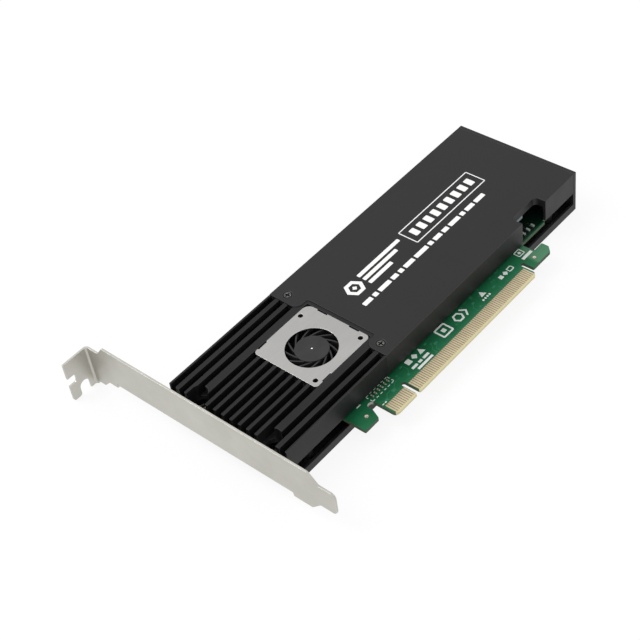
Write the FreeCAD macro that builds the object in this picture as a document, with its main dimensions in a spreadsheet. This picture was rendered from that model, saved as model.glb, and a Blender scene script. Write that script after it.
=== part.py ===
"""Low-profile x16 adapter card for solid-state drive modules, with a blower heatsink, a drive
cover, a base cover and a full-height slot bracket.

Frame, in millimetres: X runs along the card from the bracket towards its far end, Y runs from the
tips of the edge contacts towards the card's top edge, and Z is square to the board, up from its
component side.  The origin is the middle of the contact key, on the contact tips' line and on the
component side of the board.
"""
import FreeCAD, Part
import math
import os
import re
from types import SimpleNamespace

from FreeCAD import Rotation, Vector

# ---------------------------------------------------------------------------------------------
# Driving sizes
# ---------------------------------------------------------------------------------------------
SIZES = {
    # board
    "board_thickness": 1.57,
    "board_length": 167.65,
    "board_reach": 57.15,          # from the contact key to the bracket end
    "board_top": 68.1,
    "board_near": 14.1,            # edge of the board in the window
    "board_inset": 15.1,           # edge of the board where the housing walls stand over it
    "board_hole": 2.2,             # clearance holes for the housing screws
    # edge contacts
    "contact_pitch": 1.0,
    "contact_width": 0.7,
    "contact_plating": 0.05,
    "contact_top": 5.7,
    "contact_foot": 0.75,
    "contact_start": 1.5,          # from the key's middle to the first contact
    "contact_margin": 1.1,         # from the last contact to the end of its row
    "short_row": 11,
    "long_row": 71,
    "key_width": 1.9,
    "key_depth": 7.9,
    "bevel_length": 0.7,
    "bevel_depth": 0.35,
    "row_corner": 2.0,
    # tab and hook beside the contacts
    "tab_left": -24.7,
    "tab_right": -15.8,
    "tab_foot": 4.2,
    "tab_slant": 1.6,
    "tab_shoulder": 8.0,
    "tab_slot_top": 11.4,
    "hook_left": 74.4,
    "hook_neck": 82.3,
    "hook_tip": 87.4,
    "hook_foot": 2.8,
    "hook_top": 8.1,
    "hook_slant": 2.1,
    "lock_hole": 1.2,
    "tab_hole_inset": 3.9,         # from the tab's foot
    "tab_hole_shift": 0.9,         # from the tab's middle
    "hook_hole_inset": 3.0,
    "hook_hole_shift": 0.9,
    # housing, shared by the heatsink, the drive cover and the base cover
    "housing_near": 13.2,
    "housing_inset": 3.15,         # from the board's bracket end to the housing
    "housing_end": 118.6,
    "wall_foot": 1.2,              # gap between the board and the housing walls
    "seam_gap": 0.1,
    # finned heatsink
    "fin_width": 1.8,              # fins between a side wall and a land
    "fin_gap": 2.46,
    "fin_wall": 0.8,
    "land_width": 3.2,
    "bay_fin_width": 1.36,         # fins in front of the blower
    "bay_fin_gap": 2.56,
    "bay_fins": 7,
    "near_fins": 1,
    "far_fins": 2,
    "fin_top": 10.9,
    "slab_foot": 3.2,
    "slab_thickness": 2.2,
    "bay_floor": 4.2,
    "bay_left": -26.0,
    "bay_wall": 1.45,
    "pocket_width": 6.5,
    "pocket_length": 6.3,
    # drive cover
    "cover_left": -0.4,
    "cover_top": 11.1,
    "cover_plate": 3.4,
    "cover_wall": 1.1,
    "ear_thickness": 1.7,
    "ear_near_end": 22.95,
    "ear_far_end": 55.05,
    "ear_radius": 3.2,
    "inner_radius": 1.2,
    "ledge_right": 7.0,
    "ear_screw_along": 3.2,
    "ear_screw_near": 18.7,
    "ear_screw_far": 63.0,
    "window_left": 82.4,
    "window_right": 97.7,
    "window_depth": 5.0,
    "window_radius": 2.0,
    # base cover
    "base_foot": -7.9,
    "base_floor": 1.1,
    "base_rim": 3.4,
    "rim_wall": 1.1,
    "end_wall": 1.7,
    # posts and screws that clamp base, board, heatsink and cover
    "post_radius": 2.4,
    "post_near": 18.2,
    "post_far": 64.8,
    "sink_post_left": -41.0,
    "sink_post_right": -8.0,
    "cover_post_share": 0.35,      # of the way from the window to the housing's end
    "screw_radius": 1.0,
    "screw_head_radius": 1.9,
    "screw_head_depth": 1.1,
    "screw_fit": 0.05,
    "screw_bite": 4.0,
    # bracket
    "sheet_thickness": 0.86,
    "bend_radius": 0.95,
    "bracket_gap": 1.04,           # between the board's end and the blade
    "bracket_height": 120.02,
    "bracket_width": 18.42,
    "bracket_edge": -2.84,         # long edge on the solder side
    "bracket_tip": -12.06,
    "tip_width": 10.19,
    "tip_height": 7.26,
    "lug_height": 7.7,
    "flange_reach": 2.9,
    "flange_top": 94.0,
    "neck_low_start": 98.6,
    "neck_low_end": 101.8,
    "neck_high_start": 97.7,
    "neck_high_end": 101.0,
    "neck_low": -6.1,
    "lip_reach": 11.43,
    "lip_low": -7.8,
    "lip_high": 11.2,
    "notch_width": 4.6,
    "notch_reach": 5.05,           # from the blade's outer face to the notch's middle
    "notch_end": -2.1,
    "lip_corner": 1.2,
    "side_notch_low": 0.0,
    "side_notch_high": 3.8,
    "side_notch_depth": 3.7,
    "bracket_ear_width": 8.6,
    "bracket_ear_round": 2.0,
    "bracket_screw_inset": 6.15,   # from the board's bracket end
    "bracket_screw_near": 22.3,
    "bracket_screw_far": 57.0,
    "bracket_screw_radius": 1.5,
    "bracket_head_radius": 2.7,
    "bracket_head_height": 1.9,
    "bracket_screw_length": 3.9,
    "collar_radius": 2.1,
    "collar_depth": 1.2,
    # blower
    "fan_square": 29.8,
    "fan_shift_along": -1.1,
    "fan_shift_up": -0.92,
    "fan_corner": 2.2,
    "plate_thickness": 0.4,
    "plate_inset": 0.1,            # plate's face below the fin tops
    "intake_radius": 9.8,
    "frame_wall": 1.2,
    "frame_floor": 0.8,
    "fan_hole_radius": 1.0,
    "fan_hole_inset": 2.5,
    "fan_hole_run": 6.1,
    "fan_hole_drop": 1.9,
    "clip_length": 4.6,
    "clip_depth": 0.55,
    "clip_inset": 3.6,
    "clip_inset_far": 2.4,
    "clip_inset_right": 5.1,
    "hub_radius": 6.4,
    "hub_wall": 0.8,
    "hub_drop": 0.05,              # hub's face below the plate's underside
    "hub_cap": 1.0,
    "blade_count": 13,
    "blade_radius": 11.3,
    "blade_sweep": 48.0,
    "blade_start": 5.0,            # turn of the first blade at rest
    "blade_bow": 0.35,
    "blade_width": 0.6,
    "blade_drop": 0.4,
    "blade_lift": 0.7,
    "volute_gap": 0.8,
    "shaft_radius": 0.5,
    "shaft_fit": 0.03,
    "bearing_radius": 1.4,
    "boss_wall": 0.6,
    "magnet_width": 0.8,
    "magnet_gap": 0.35,
    "stator_arms": 4,
    "stator_arm_width": 1.1,
    "stator_height": 2.3,
    "coil_swell": 0.45,
    "motor_board": 0.4,
    # drive sockets, stand-offs and pads
    "socket_left": 11.5,
    "socket_depth": 8.7,
    "socket_width": 21.9,
    "socket_height": 4.2,
    "slot_height": 0.9,
    "slot_depth": 4.6,
    "slot_lift": 2.1,
    "slot_key": 1.2,
    "drive_near": 28.4,
    "drive_far": 54.2,
    "drive_width": 22.0,
    "drive_length": 80.0,
    "drive_seat": 2.45,
    "standoff_radius": 2.4,
    "drive_head_radius": 1.9,
    "drive_head_height": 0.6,
    "pad_thickness": 1.6,
    "lower_pad_thickness": 0.9,
    "pad_margin": 3.0,
    # electronics
    "chip_along": -38.0,
    "chip_up": 39.0,
    "chip_square": 25.0,
    "chip_base": 1.1,
    "die_square": 17.0,
    "die_height": 1.3,
    "small_part_length": 0.6,
    "small_part_width": 1.2,
    "small_part_height": 0.6,
    "small_part_along": -11.1,
    "small_part_up": 12.3,
    "small_part_pitch": 1.75,
    "small_part_count": 6,
    "light_length": 0.8,
    "light_width": 1.6,
    "light_height": 0.7,
    "resistor_width": 1.0,
    "resistor_height": 0.4,
    "resistor_shift": 2.2,
    "light_along": 84.8,
    "light_up": 16.6,
    "light_pitch": 2.9,
    "light_count": 4,
    "regulator_length": 4.0,
    "regulator_width": 5.0,
    "regulator_height": 0.9,
    "inductor_along": -14.0,
    "inductor_up": 24.0,
    "inductor_pitch": 14.0,
    "inductor_square": 6.6,
    "inductor_height": 2.8,
    "inductor_count": 3,
    "bulk_length": 4.3,
    "bulk_width": 7.3,
    "bulk_height": 2.8,
    "bulk_along": 2.4,
    "bulk_count": 4,
    "header_length": 3.4,
    "header_width": 5.2,
    "header_height": 2.9,
    "header_wall": 0.5,
    "header_along": 8.6,
    "clock_square": 5.0,
    "clock_height": 0.9,
    "memory_length": 5.0,
    "memory_width": 4.0,
    "memory_height": 1.6,
    "clock_along": -30.0,
    "clock_up": 21.5,
    "memory_along": -30.0,
    "memory_up": 57.0,
}

doc = FreeCAD.newDocument("AdapterCard")
sheet = doc.addObject("Spreadsheet::Sheet", "Sizes")
for row, (alias, value) in enumerate(SIZES.items(), start=1):
    sheet.set(f"A{row}", str(value))
    sheet.setAlias(f"A{row}", alias)
doc.recompute()

g = SimpleNamespace(**{alias: float(sheet.get(alias)) for alias in SIZES})

# Heights and places that several pieces share, as expressions of the sheet's cells.
BAY_NEAR = "housing_near + fin_wall + near_fins * (fin_width + fin_gap) + fin_gap + land_width"
BAY_SIZE = "bay_fins * bay_fin_width + (bay_fins + 1) * bay_fin_gap"
HOUSING_FAR = f"{BAY_NEAR} + {BAY_SIZE} + land_width + far_fins * (fin_width + fin_gap) + fin_gap + fin_wall"
COVER_CEILING = "cover_top - cover_plate"
LEDGE_TOP = "cover_top - ear_thickness"
BASE_TOP = "base_foot + base_floor"
RIM_TOP = "base_foot + base_rim"
PLATE_TOP = "fin_top - plate_inset"
HOUSING_LEFT = "(housing_inset - board_reach)"
BRACKET_FACE = "(-(board_reach + bracket_gap + sheet_thickness))"
BRACKET_SCREW_ALONG = "(bracket_screw_inset - board_reach)"
COVER_POST = "(window_right + cover_post_share * (housing_end - window_right))"
FAN_ALONG = f"bay_left + ({BAY_SIZE}) / 2 + fan_shift_along"
FAN_UP = f"{BAY_NEAR} + ({BAY_SIZE}) / 2 + fan_shift_up"


def cells(text):
    """Turn an expression of size names into one of the sheet's cells."""
    return re.sub(r"[a-z]+(?:_[a-z]+)+", r"Sizes.\g<0>", text)


def number(text):
    """Value of an expression of size names."""
    return float(sheet.evalExpression(cells(text)))


def bind(item, **texts):
    """Bind properties to expressions; two underscores in a keyword stand for a dot."""
    for path, text in texts.items():
        item.setExpression(path.replace("__", "."), cells(str(text)))


# Python values of the shared places, for the sketches.
far_side = number(HOUSING_FAR)
bay_size = number(BAY_SIZE)
bay_near = number(BAY_NEAR)
bay_far = bay_near + bay_size
bay_right = g.bay_left + bay_size
fan_x = number(FAN_ALONG)
fan_y = number(FAN_UP)
fan_left = g.bay_left + (bay_size - g.fan_square) / 2
fan_near = bay_near + (bay_size - g.fan_square) / 2
sink_right = bay_right + g.bay_wall
housing_left = number(HOUSING_LEFT)
bracket_face = number(BRACKET_FACE)
bracket_screw_along = number(BRACKET_SCREW_ALONG)
cover_post = number(COVER_POST)
post_places = [(g.sink_post_left, g.post_near), (g.sink_post_left, g.post_far),
               (g.sink_post_right, g.post_near), (g.sink_post_right, g.post_far),
               (cover_post, g.post_near), (cover_post, g.post_far)]
ear_screws = [(g.ear_screw_along, g.ear_screw_near), (g.ear_screw_along, g.ear_screw_far)]
bracket_screws = [(bracket_screw_along, g.bracket_screw_near),
                  (bracket_screw_along, g.bracket_screw_far)]


# ---------------------------------------------------------------------------------------------
# Sketch and feature helpers
# ---------------------------------------------------------------------------------------------
def corner_arc(before, corner, after, radius):
    """Arc that rounds a corner, with its two tangent points."""
    back = (before - corner).normalize()
    ahead = (after - corner).normalize()
    half = back.getAngle(ahead) / 2
    reach = radius / math.tan(half)
    first = corner + back * reach
    last = corner + ahead * reach
    middle = corner + (back + ahead).normalize() * (radius / math.sin(half))
    circle = Part.Circle(middle, Vector(0, 0, 1), radius)
    if back.cross(ahead).z < 0:
        arc = Part.ArcOfCircle(circle, circle.parameter(first), circle.parameter(last))
    else:
        arc = Part.ArcOfCircle(circle, circle.parameter(last), circle.parameter(first))
    return first, arc, last


def outline(corners):
    """Closed outline from (x, y) or (x, y, radius) corners."""
    points = [Vector(c[0], c[1], 0) for c in corners]
    radii = [c[2] if len(c) > 2 else 0 for c in corners]
    count = len(points)
    pieces, ends = [], []
    for i in range(count):
        if radii[i]:
            first, arc, last = corner_arc(points[i - 1], points[i], points[(i + 1) % count], radii[i])
            pieces.append(arc)
            ends.append((first, last))
        else:
            pieces.append(None)
            ends.append((points[i], points[i]))
    shapes = []
    for i in range(count):
        if pieces[i]:
            shapes.append(pieces[i])
        start, stop = ends[i][1], ends[(i + 1) % count][0]
        if start.distanceToPoint(stop) > 1e-6:
            shapes.append(Part.LineSegment(start, stop))
    return shapes


def rectangle(left, right, low, high, radius=0):
    """Rectangle, with rounded corners where a radius is given."""
    return outline([(left, low, radius), (right, low, radius), (right, high, radius),
                    (left, high, radius)])


def circle(x, y, radius):
    """Full circle."""
    return [Part.Circle(Vector(x, y, 0), Vector(0, 0, 1), radius)]


def body(name):
    """Body whose label names the piece."""
    item = doc.addObject("PartDesign::Body", name)
    item.Label = name
    return item


def sketch(item, name, outlines, height="0", role="XY_Plane"):
    """Sketch on one of the body's own planes, raised along its normal by an expression."""
    drawing = item.newObject("Sketcher::SketchObject", name)
    plane = next(f for f in item.Origin.OriginFeatures if f.Role == role)
    drawing.AttachmentSupport = [(plane, "")]
    drawing.MapMode = "FlatFace"
    bind(drawing, AttachmentOffset__Base__z=height)
    for shapes in outlines:
        drawing.addGeometry(shapes, False)
    return drawing


def feature(kind, item, drawing, length, name, backwards=False):
    """Pad or Pocket of a sketch, by an expression."""
    step = item.newObject(f"PartDesign::{kind}", name)
    step.Profile = drawing
    bind(step, Length=length)
    step.Reversed = backwards
    drawing.Visibility = False
    return step


def pad(item, name, outlines, foot, height, role="XY_Plane"):
    """Pad outlines from a foot level by a height."""
    return feature("Pad", item, sketch(item, f"{name}_sketch", outlines, foot, role), height, name)


def pocket(item, name, outlines, top, depth, role="XY_Plane"):
    """Sink outlines from a top level by a depth, against the plane's normal."""
    return feature("Pocket", item, sketch(item, f"{name}_sketch", outlines, top, role), depth, name)


def block(name, x, y, z, length, width, height):
    """Block from its lowest corner and its three sides, all expressions."""
    solid = doc.addObject("Part::Box", name)
    bind(solid, Length=length, Width=width, Height=height)
    bind(solid, Placement__Base__x=x, Placement__Base__y=y, Placement__Base__z=z)
    return solid


def rod(name, x, y, z, radius, height):
    """Upright cylinder from the middle of its foot."""
    solid = doc.addObject("Part::Cylinder", name)
    bind(solid, Radius=radius, Height=height)
    bind(solid, Placement__Base__x=x, Placement__Base__y=y, Placement__Base__z=z)
    return solid


def cone(name, x, y, z, foot_radius, top_radius, height):
    """Upright cone frustum from the middle of its foot."""
    solid = doc.addObject("Part::Cone", name)
    bind(solid, Radius1=foot_radius, Radius2=top_radius, Height=height)
    bind(solid, Placement__Base__x=x, Placement__Base__y=y, Placement__Base__z=z)
    return solid


def cut(name, base, *tools):
    """Base with the tools taken out of it."""
    result = doc.addObject("Part::Cut", name)
    result.Base = base
    result.Tool = tools[0] if len(tools) == 1 else joined(f"{name}_tools", *tools)
    return result


def joined(name, *solids):
    """Solids fused into one."""
    result = doc.addObject("Part::MultiFuse", name)
    result.Shapes = list(solids)
    return result


def grouped(name, *solids):
    """Separate solids kept together as one piece's group."""
    result = doc.addObject("Part::Compound", name)
    result.Links = list(solids)
    result.Label = name
    return result


pieces = {}


def keep(name, item):
    """Name a finished piece."""
    item.Label = name
    pieces[name] = item
    return item


# ---------------------------------------------------------------------------------------------
# Board and its contacts
# ---------------------------------------------------------------------------------------------
short_end = -(g.contact_start + (g.short_row - 1) * g.contact_pitch + g.contact_margin)
long_end = g.contact_start + (g.long_row - 1) * g.contact_pitch + g.contact_margin
board_end = g.board_length - g.board_reach


def make_board():
    """Board outline with the contact tongue, key, tab and hook; holes for every fastener."""
    board = body("circuit_board")
    half_key = g.key_width / 2
    key_round = half_key * 0.98
    slot_round = (short_end - g.tab_right) * 0.45
    end_slot_round = (g.hook_left - long_end) * 0.45
    window_right = g.window_right + g.cover_wall / 2
    outer = outline([
        (-g.board_reach, g.board_inset, 1.0), (g.tab_left, g.board_inset),
        (g.tab_left, g.tab_foot, 0.5),
        (g.tab_right - g.tab_slant, g.tab_foot, 0.5), (g.tab_right, g.tab_shoulder, 0.5),
        (g.tab_right, g.tab_slot_top, slot_round), (short_end, g.tab_slot_top, slot_round),
        (short_end, 0, g.row_corner), (-half_key, 0, 0.5), (-half_key, g.key_depth, key_round),
        (half_key, g.key_depth, key_round), (half_key, 0, 0.5), (long_end, 0, g.row_corner),
        (long_end, g.hook_top, end_slot_round), (g.hook_left, g.hook_top, end_slot_round),
        (g.hook_left, g.hook_foot, 0.5), (g.hook_tip - g.hook_slant, g.hook_foot, 0.5),
        (g.hook_tip, g.hook_foot + g.hook_slant, 0.5), (g.hook_tip, g.hook_top, 0.5),
        (g.hook_neck, g.hook_top, 0.8), (g.hook_neck, g.board_near, 0.8), (window_right, g.board_near),
        (window_right, g.board_inset), (board_end, g.board_inset, 1.0), (board_end, g.board_top, 1.0),
        (-g.board_reach, g.board_top, 1.0)])
    pad(board, "board_plate", [outer], "-board_thickness", "board_thickness")
    holes = [circle(x, y, g.board_hole / 2) for x, y in post_places]
    holes += [circle(x, y, g.bracket_screw_radius + 0.1) for x, y in bracket_screws]
    holes.append(circle((g.tab_left + g.tab_right) / 2 + g.tab_hole_shift,
                        g.tab_foot + g.tab_hole_inset, g.lock_hole / 2))
    holes.append(circle((g.hook_left + g.hook_neck) / 2 + g.hook_hole_shift,
                        g.hook_foot + g.hook_hole_inset, g.lock_hole / 2))
    pocket(board, "board_holes", holes, "0", "board_thickness")
    run, rise, skin = g.bevel_length, g.bevel_depth, g.board_thickness
    upper = outline([(-1, 0), (run, 0), (0, -rise), (-1, -rise)])
    lower = outline([(-1, -skin), (-1, rise - skin), (0, rise - skin), (run, -skin)])
    pocket(board, "contact_bevel", [upper, lower], "contact_start + long_row * contact_pitch + 1",
           "(short_row + long_row + 6) * contact_pitch", role="YZ_Plane")
    return board


def make_contacts(name, foot):
    """Plated contacts on one side of the board, one solid each."""
    contacts = []
    rows = [(-1, int(g.short_row)), (1, int(g.long_row))]
    for side, count in rows:
        for place in range(count):
            middle = f"{side} * (contact_start + {place} * contact_pitch)"
            contacts.append(block(f"{name}_{'short' if side < 0 else 'long'}_{place + 1}",
                                  f"{middle} - contact_width / 2", "contact_foot", foot,
                                  "contact_width", "contact_top - contact_foot", "contact_plating"))
    return grouped(name, *contacts)


keep("circuit_board", make_board())
keep("edge_contacts_component_side", make_contacts("edge_contacts_component_side", "0"))
keep("edge_contacts_solder_side",
     make_contacts("edge_contacts_solder_side", "-board_thickness - contact_plating"))


# ---------------------------------------------------------------------------------------------
# Finned heatsink
# ---------------------------------------------------------------------------------------------
def sink_outline(gap):
    """Plan of the heatsink's full-height part; its right end fits between the cover's ears."""
    left_end, right_end = g.cover_left - gap, sink_right
    low, high = g.ear_near_end + gap, g.ear_far_end - gap
    ear, inner = g.ear_radius + gap, g.inner_radius - gap
    return outline([(housing_left, g.housing_near), (left_end, g.housing_near), (left_end, low, ear),
                    (right_end, low, inner), (right_end, high, inner), (left_end, high, ear),
                    (left_end, far_side), (housing_left, far_side)])


def make_heatsink():
    """Cast block: side walls, slab, fins, blower bay, screw pockets, ledges and tapped posts."""
    sink = body("finned_heatsink")
    gap = g.seam_gap
    inside_near = g.housing_near + g.cover_wall + gap
    inside_far = far_side - g.cover_wall - gap
    pad(sink, "sink_block", [sink_outline(gap)], "wall_foot", "fin_top - wall_foot")
    ledges = rectangle(g.cover_left - 2 * g.fin_gap, g.ledge_right, inside_near, inside_far)
    pad(sink, "cover_ledges", [ledges], "slab_foot", f"{LEDGE_TOP} - slab_foot")
    hollow = rectangle(housing_left - 1, g.cover_left - gap - g.fin_wall, g.housing_near + g.fin_wall,
                       far_side - g.fin_wall)
    pocket(sink, "sink_underside", [hollow], "slab_foot", "slab_foot - wall_foot")
    tail = rectangle(g.cover_left - gap - g.fin_wall - 1, sink_right + 1, inside_near, inside_far)
    pocket(sink, "sink_tail_underside", [tail], "slab_foot", "slab_foot - wall_foot")
    posts = [circle(x, y, g.post_radius) for x, y in post_places[:4]]
    pad(sink, "sink_posts", posts, "0", "slab_foot + 0.1")
    pitch = g.fin_width + g.fin_gap
    first_gap = g.housing_near + g.fin_wall
    near_gaps = [first_gap + k * pitch for k in range(int(g.near_fins) + 1)]
    far_start = bay_far + g.land_width
    far_gaps = [far_start + k * pitch for k in range(int(g.far_fins) + 1)]
    grooves = [rectangle(housing_left - 1, g.cover_left, y, y + g.fin_gap) for y in near_gaps + far_gaps]
    depth = "fin_top - slab_foot - slab_thickness"
    pocket(sink, "side_grooves", grooves, "fin_top", depth)
    bay_groove = rectangle(housing_left - 1, g.bay_left + 1, bay_near, bay_near + g.bay_fin_gap)
    cut_once = pocket(sink, "bay_groove", [bay_groove], "fin_top", depth)
    run = sink.newObject("PartDesign::LinearPattern", "bay_grooves")
    run.Originals = [cut_once]
    run.Direction = (cut_once.Profile[0], ["V_Axis"])
    bind(run, Length="bay_fins * (bay_fin_width + bay_fin_gap)", Occurrences="bay_fins + 1")
    sink.Tip = run
    bay = rectangle(g.bay_left, bay_right, bay_near, bay_far)
    pocket(sink, "blower_bay", [bay], "fin_top", "fin_top - bay_floor")
    half = g.pocket_width / 2
    closed = housing_left + g.pocket_length
    slots = [outline([(housing_left - 1, y - half), (closed, y - half, half * 0.98),
                      (closed, y + half, half * 0.98), (housing_left - 1, y + half)])
             for y in (g.bracket_screw_near, g.bracket_screw_far)]
    pocket(sink, "screw_pockets", slots, "fin_top", "fin_top - wall_foot + 0.5")
    pocket(sink, "tapped_posts", [circle(x, y, g.screw_radius + g.screw_fit) for x, y in post_places[:4]],
           "slab_foot + screw_fit + 0.9", "slab_foot + 2")
    pocket(sink, "tapped_ledges", [circle(x, y, g.screw_radius + g.screw_fit) for x, y in ear_screws],
           LEDGE_TOP, "screw_bite + 0.2")
    return sink


keep("finned_heatsink", make_heatsink())


# ---------------------------------------------------------------------------------------------
# Drive cover and base cover
# ---------------------------------------------------------------------------------------------
def cone_sink(item, name, places, top, run, upwards=False):
    """Countersunk holes: a revolved cut at each place, through a run of material."""
    wide, thin = g.screw_head_radius + g.screw_fit, g.screw_radius + g.screw_fit
    depth = g.screw_head_depth + g.screw_fit
    level = number(top)
    sign = -1 if not upwards else 1
    start, reach = level - sign * 0.5, level + sign * (number(run) + g.screw_head_depth)
    for count, (x, y) in enumerate(places, start=1):
        profile = outline([(x, start), (x + wide, start), (x + wide, level),
                           (x + thin, level + sign * depth), (x + thin, reach), (x, reach)])
        drawing = sketch(item, f"{name}_sketch_{count}", [profile], f"{-y}", role="XZ_Plane")
        groove = item.newObject("PartDesign::Groove", f"{name}_{count}")
        groove.Profile = drawing
        axis = drawing.addGeometry(Part.LineSegment(Vector(x, level - 1, 0), Vector(x, level + 1, 0)), True)
        groove.ReferenceAxis = (drawing, ["Axis0"])
        groove.Angle = 360


def make_cover():
    """Machined lid: thick plate, side walls, two screw ears, status window and tapped posts."""
    cover = body("drive_cover")
    end = g.housing_end - g.end_wall - g.seam_gap
    window_far = g.housing_near + g.window_depth
    plan = outline([
        (g.cover_left, g.housing_near), (g.window_left, g.housing_near),
        (g.window_left, window_far, g.window_radius), (g.window_right, window_far, g.window_radius),
        (g.window_right, g.housing_near), (end, g.housing_near), (end, far_side),
        (g.cover_left, far_side), (g.cover_left, g.ear_far_end, g.ear_radius),
        (sink_right + g.seam_gap, g.ear_far_end, g.inner_radius),
        (sink_right + g.seam_gap, g.ear_near_end, g.inner_radius),
        (g.cover_left, g.ear_near_end, g.ear_radius)])
    pad(cover, "cover_block", [plan], "wall_foot", "cover_top - wall_foot")
    wall = g.cover_wall
    inner = outline([
        (g.cover_left - 1, g.housing_near + wall), (g.window_left - wall, g.housing_near + wall),
        (g.window_left - wall, window_far + wall, g.window_radius + wall),
        (g.window_right + wall, window_far + wall, g.window_radius + wall),
        (g.window_right + wall, g.housing_near + wall), (end + 1, g.housing_near + wall),
        (end + 1, far_side - wall), (g.cover_left - 1, far_side - wall)])
    pocket(cover, "cover_hollow", [inner], COVER_CEILING, f"{COVER_CEILING} - wall_foot")
    lifted = rectangle(g.cover_left - 1, g.ledge_right + 0.3, g.housing_near + wall, far_side - wall)
    pocket(cover, "ear_relief", [lifted], LEDGE_TOP, f"{LEDGE_TOP} - wall_foot")
    skirt = rectangle(g.window_left - wall - 1, g.window_right + wall + 1,
                      g.housing_near + wall + 0.01, window_far + wall + 1)
    pocket(cover, "window_light_gap", [skirt], COVER_CEILING, f"{COVER_CEILING} - wall_foot")
    posts = [circle(x, y, g.post_radius) for x, y in post_places[4:]]
    pad(cover, "cover_posts", posts, "0", f"{COVER_CEILING} + 0.1")
    pocket(cover, "tapped_posts", [circle(x, y, g.screw_radius + g.screw_fit) for x, y in post_places[4:]],
           "slab_foot + screw_fit + 0.9", "slab_foot + 2")
    cone_sink(cover, "ear_countersink", ear_screws, "cover_top", "ear_thickness")
    return cover


def make_base():
    """Tray under the board: floor, low rim, full-height end wall, posts and countersunk holes."""
    base = body("base_cover")
    pad(base, "base_plate", [rectangle(housing_left, g.housing_end, g.housing_near, far_side)],
        "base_foot", "base_rim")
    rim = g.rim_wall
    tray = rectangle(housing_left + rim, g.housing_end - g.end_wall, g.housing_near + rim, far_side - rim)
    pocket(base, "base_tray", [tray], RIM_TOP, "base_rim - base_floor")
    end_wall = rectangle(g.housing_end - g.end_wall, g.housing_end, g.housing_near, far_side)
    pad(base, "end_wall", [end_wall], "base_foot", "cover_top - base_foot")
    posts = [circle(x, y, g.post_radius) for x, y in post_places]
    pad(base, "base_posts", posts, BASE_TOP, f"-board_thickness - ({BASE_TOP})")
    cone_sink(base, "base_countersink", post_places, "base_foot", "-base_foot", upwards=True)
    return base


keep("drive_cover", make_cover())
keep("base_cover", make_base())


# ---------------------------------------------------------------------------------------------
# Screws
# ---------------------------------------------------------------------------------------------
def flush_screw(name, x, y, face, length, upwards):
    """Countersunk screw whose face lies at a level; its shank runs into the part."""
    shank_foot = f"{face} - ({length})" if upwards else face
    cone_foot = f"{face} - screw_head_depth" if upwards else face
    radii = ("screw_radius", "screw_head_radius") if upwards else ("screw_head_radius", "screw_radius")
    shank = rod(f"{name}_shank", x, y, shank_foot, "screw_radius", length)
    head = cone(f"{name}_head", x, y, cone_foot, *radii, "screw_head_depth")
    return joined(name, shank, head)


cover_screws = [flush_screw(f"cover_screw_{i}", "ear_screw_along", up, "cover_top - screw_fit",
                            "ear_thickness + screw_bite - 0.3", True)
                for i, up in enumerate(("ear_screw_near", "ear_screw_far"), start=1)]
keep("cover_screws", grouped("cover_screws", *cover_screws))

base_screws = [flush_screw(f"base_screw_{i}", along, up, "base_foot + screw_fit", "slab_foot - base_foot",
                           False)
               for i, (along, up) in enumerate(((a, u) for a in ("sink_post_left", "sink_post_right",
                                                                COVER_POST)
                                                for u in ("post_near", "post_far")), start=1)]
keep("base_screws", grouped("base_screws", *base_screws))


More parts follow.
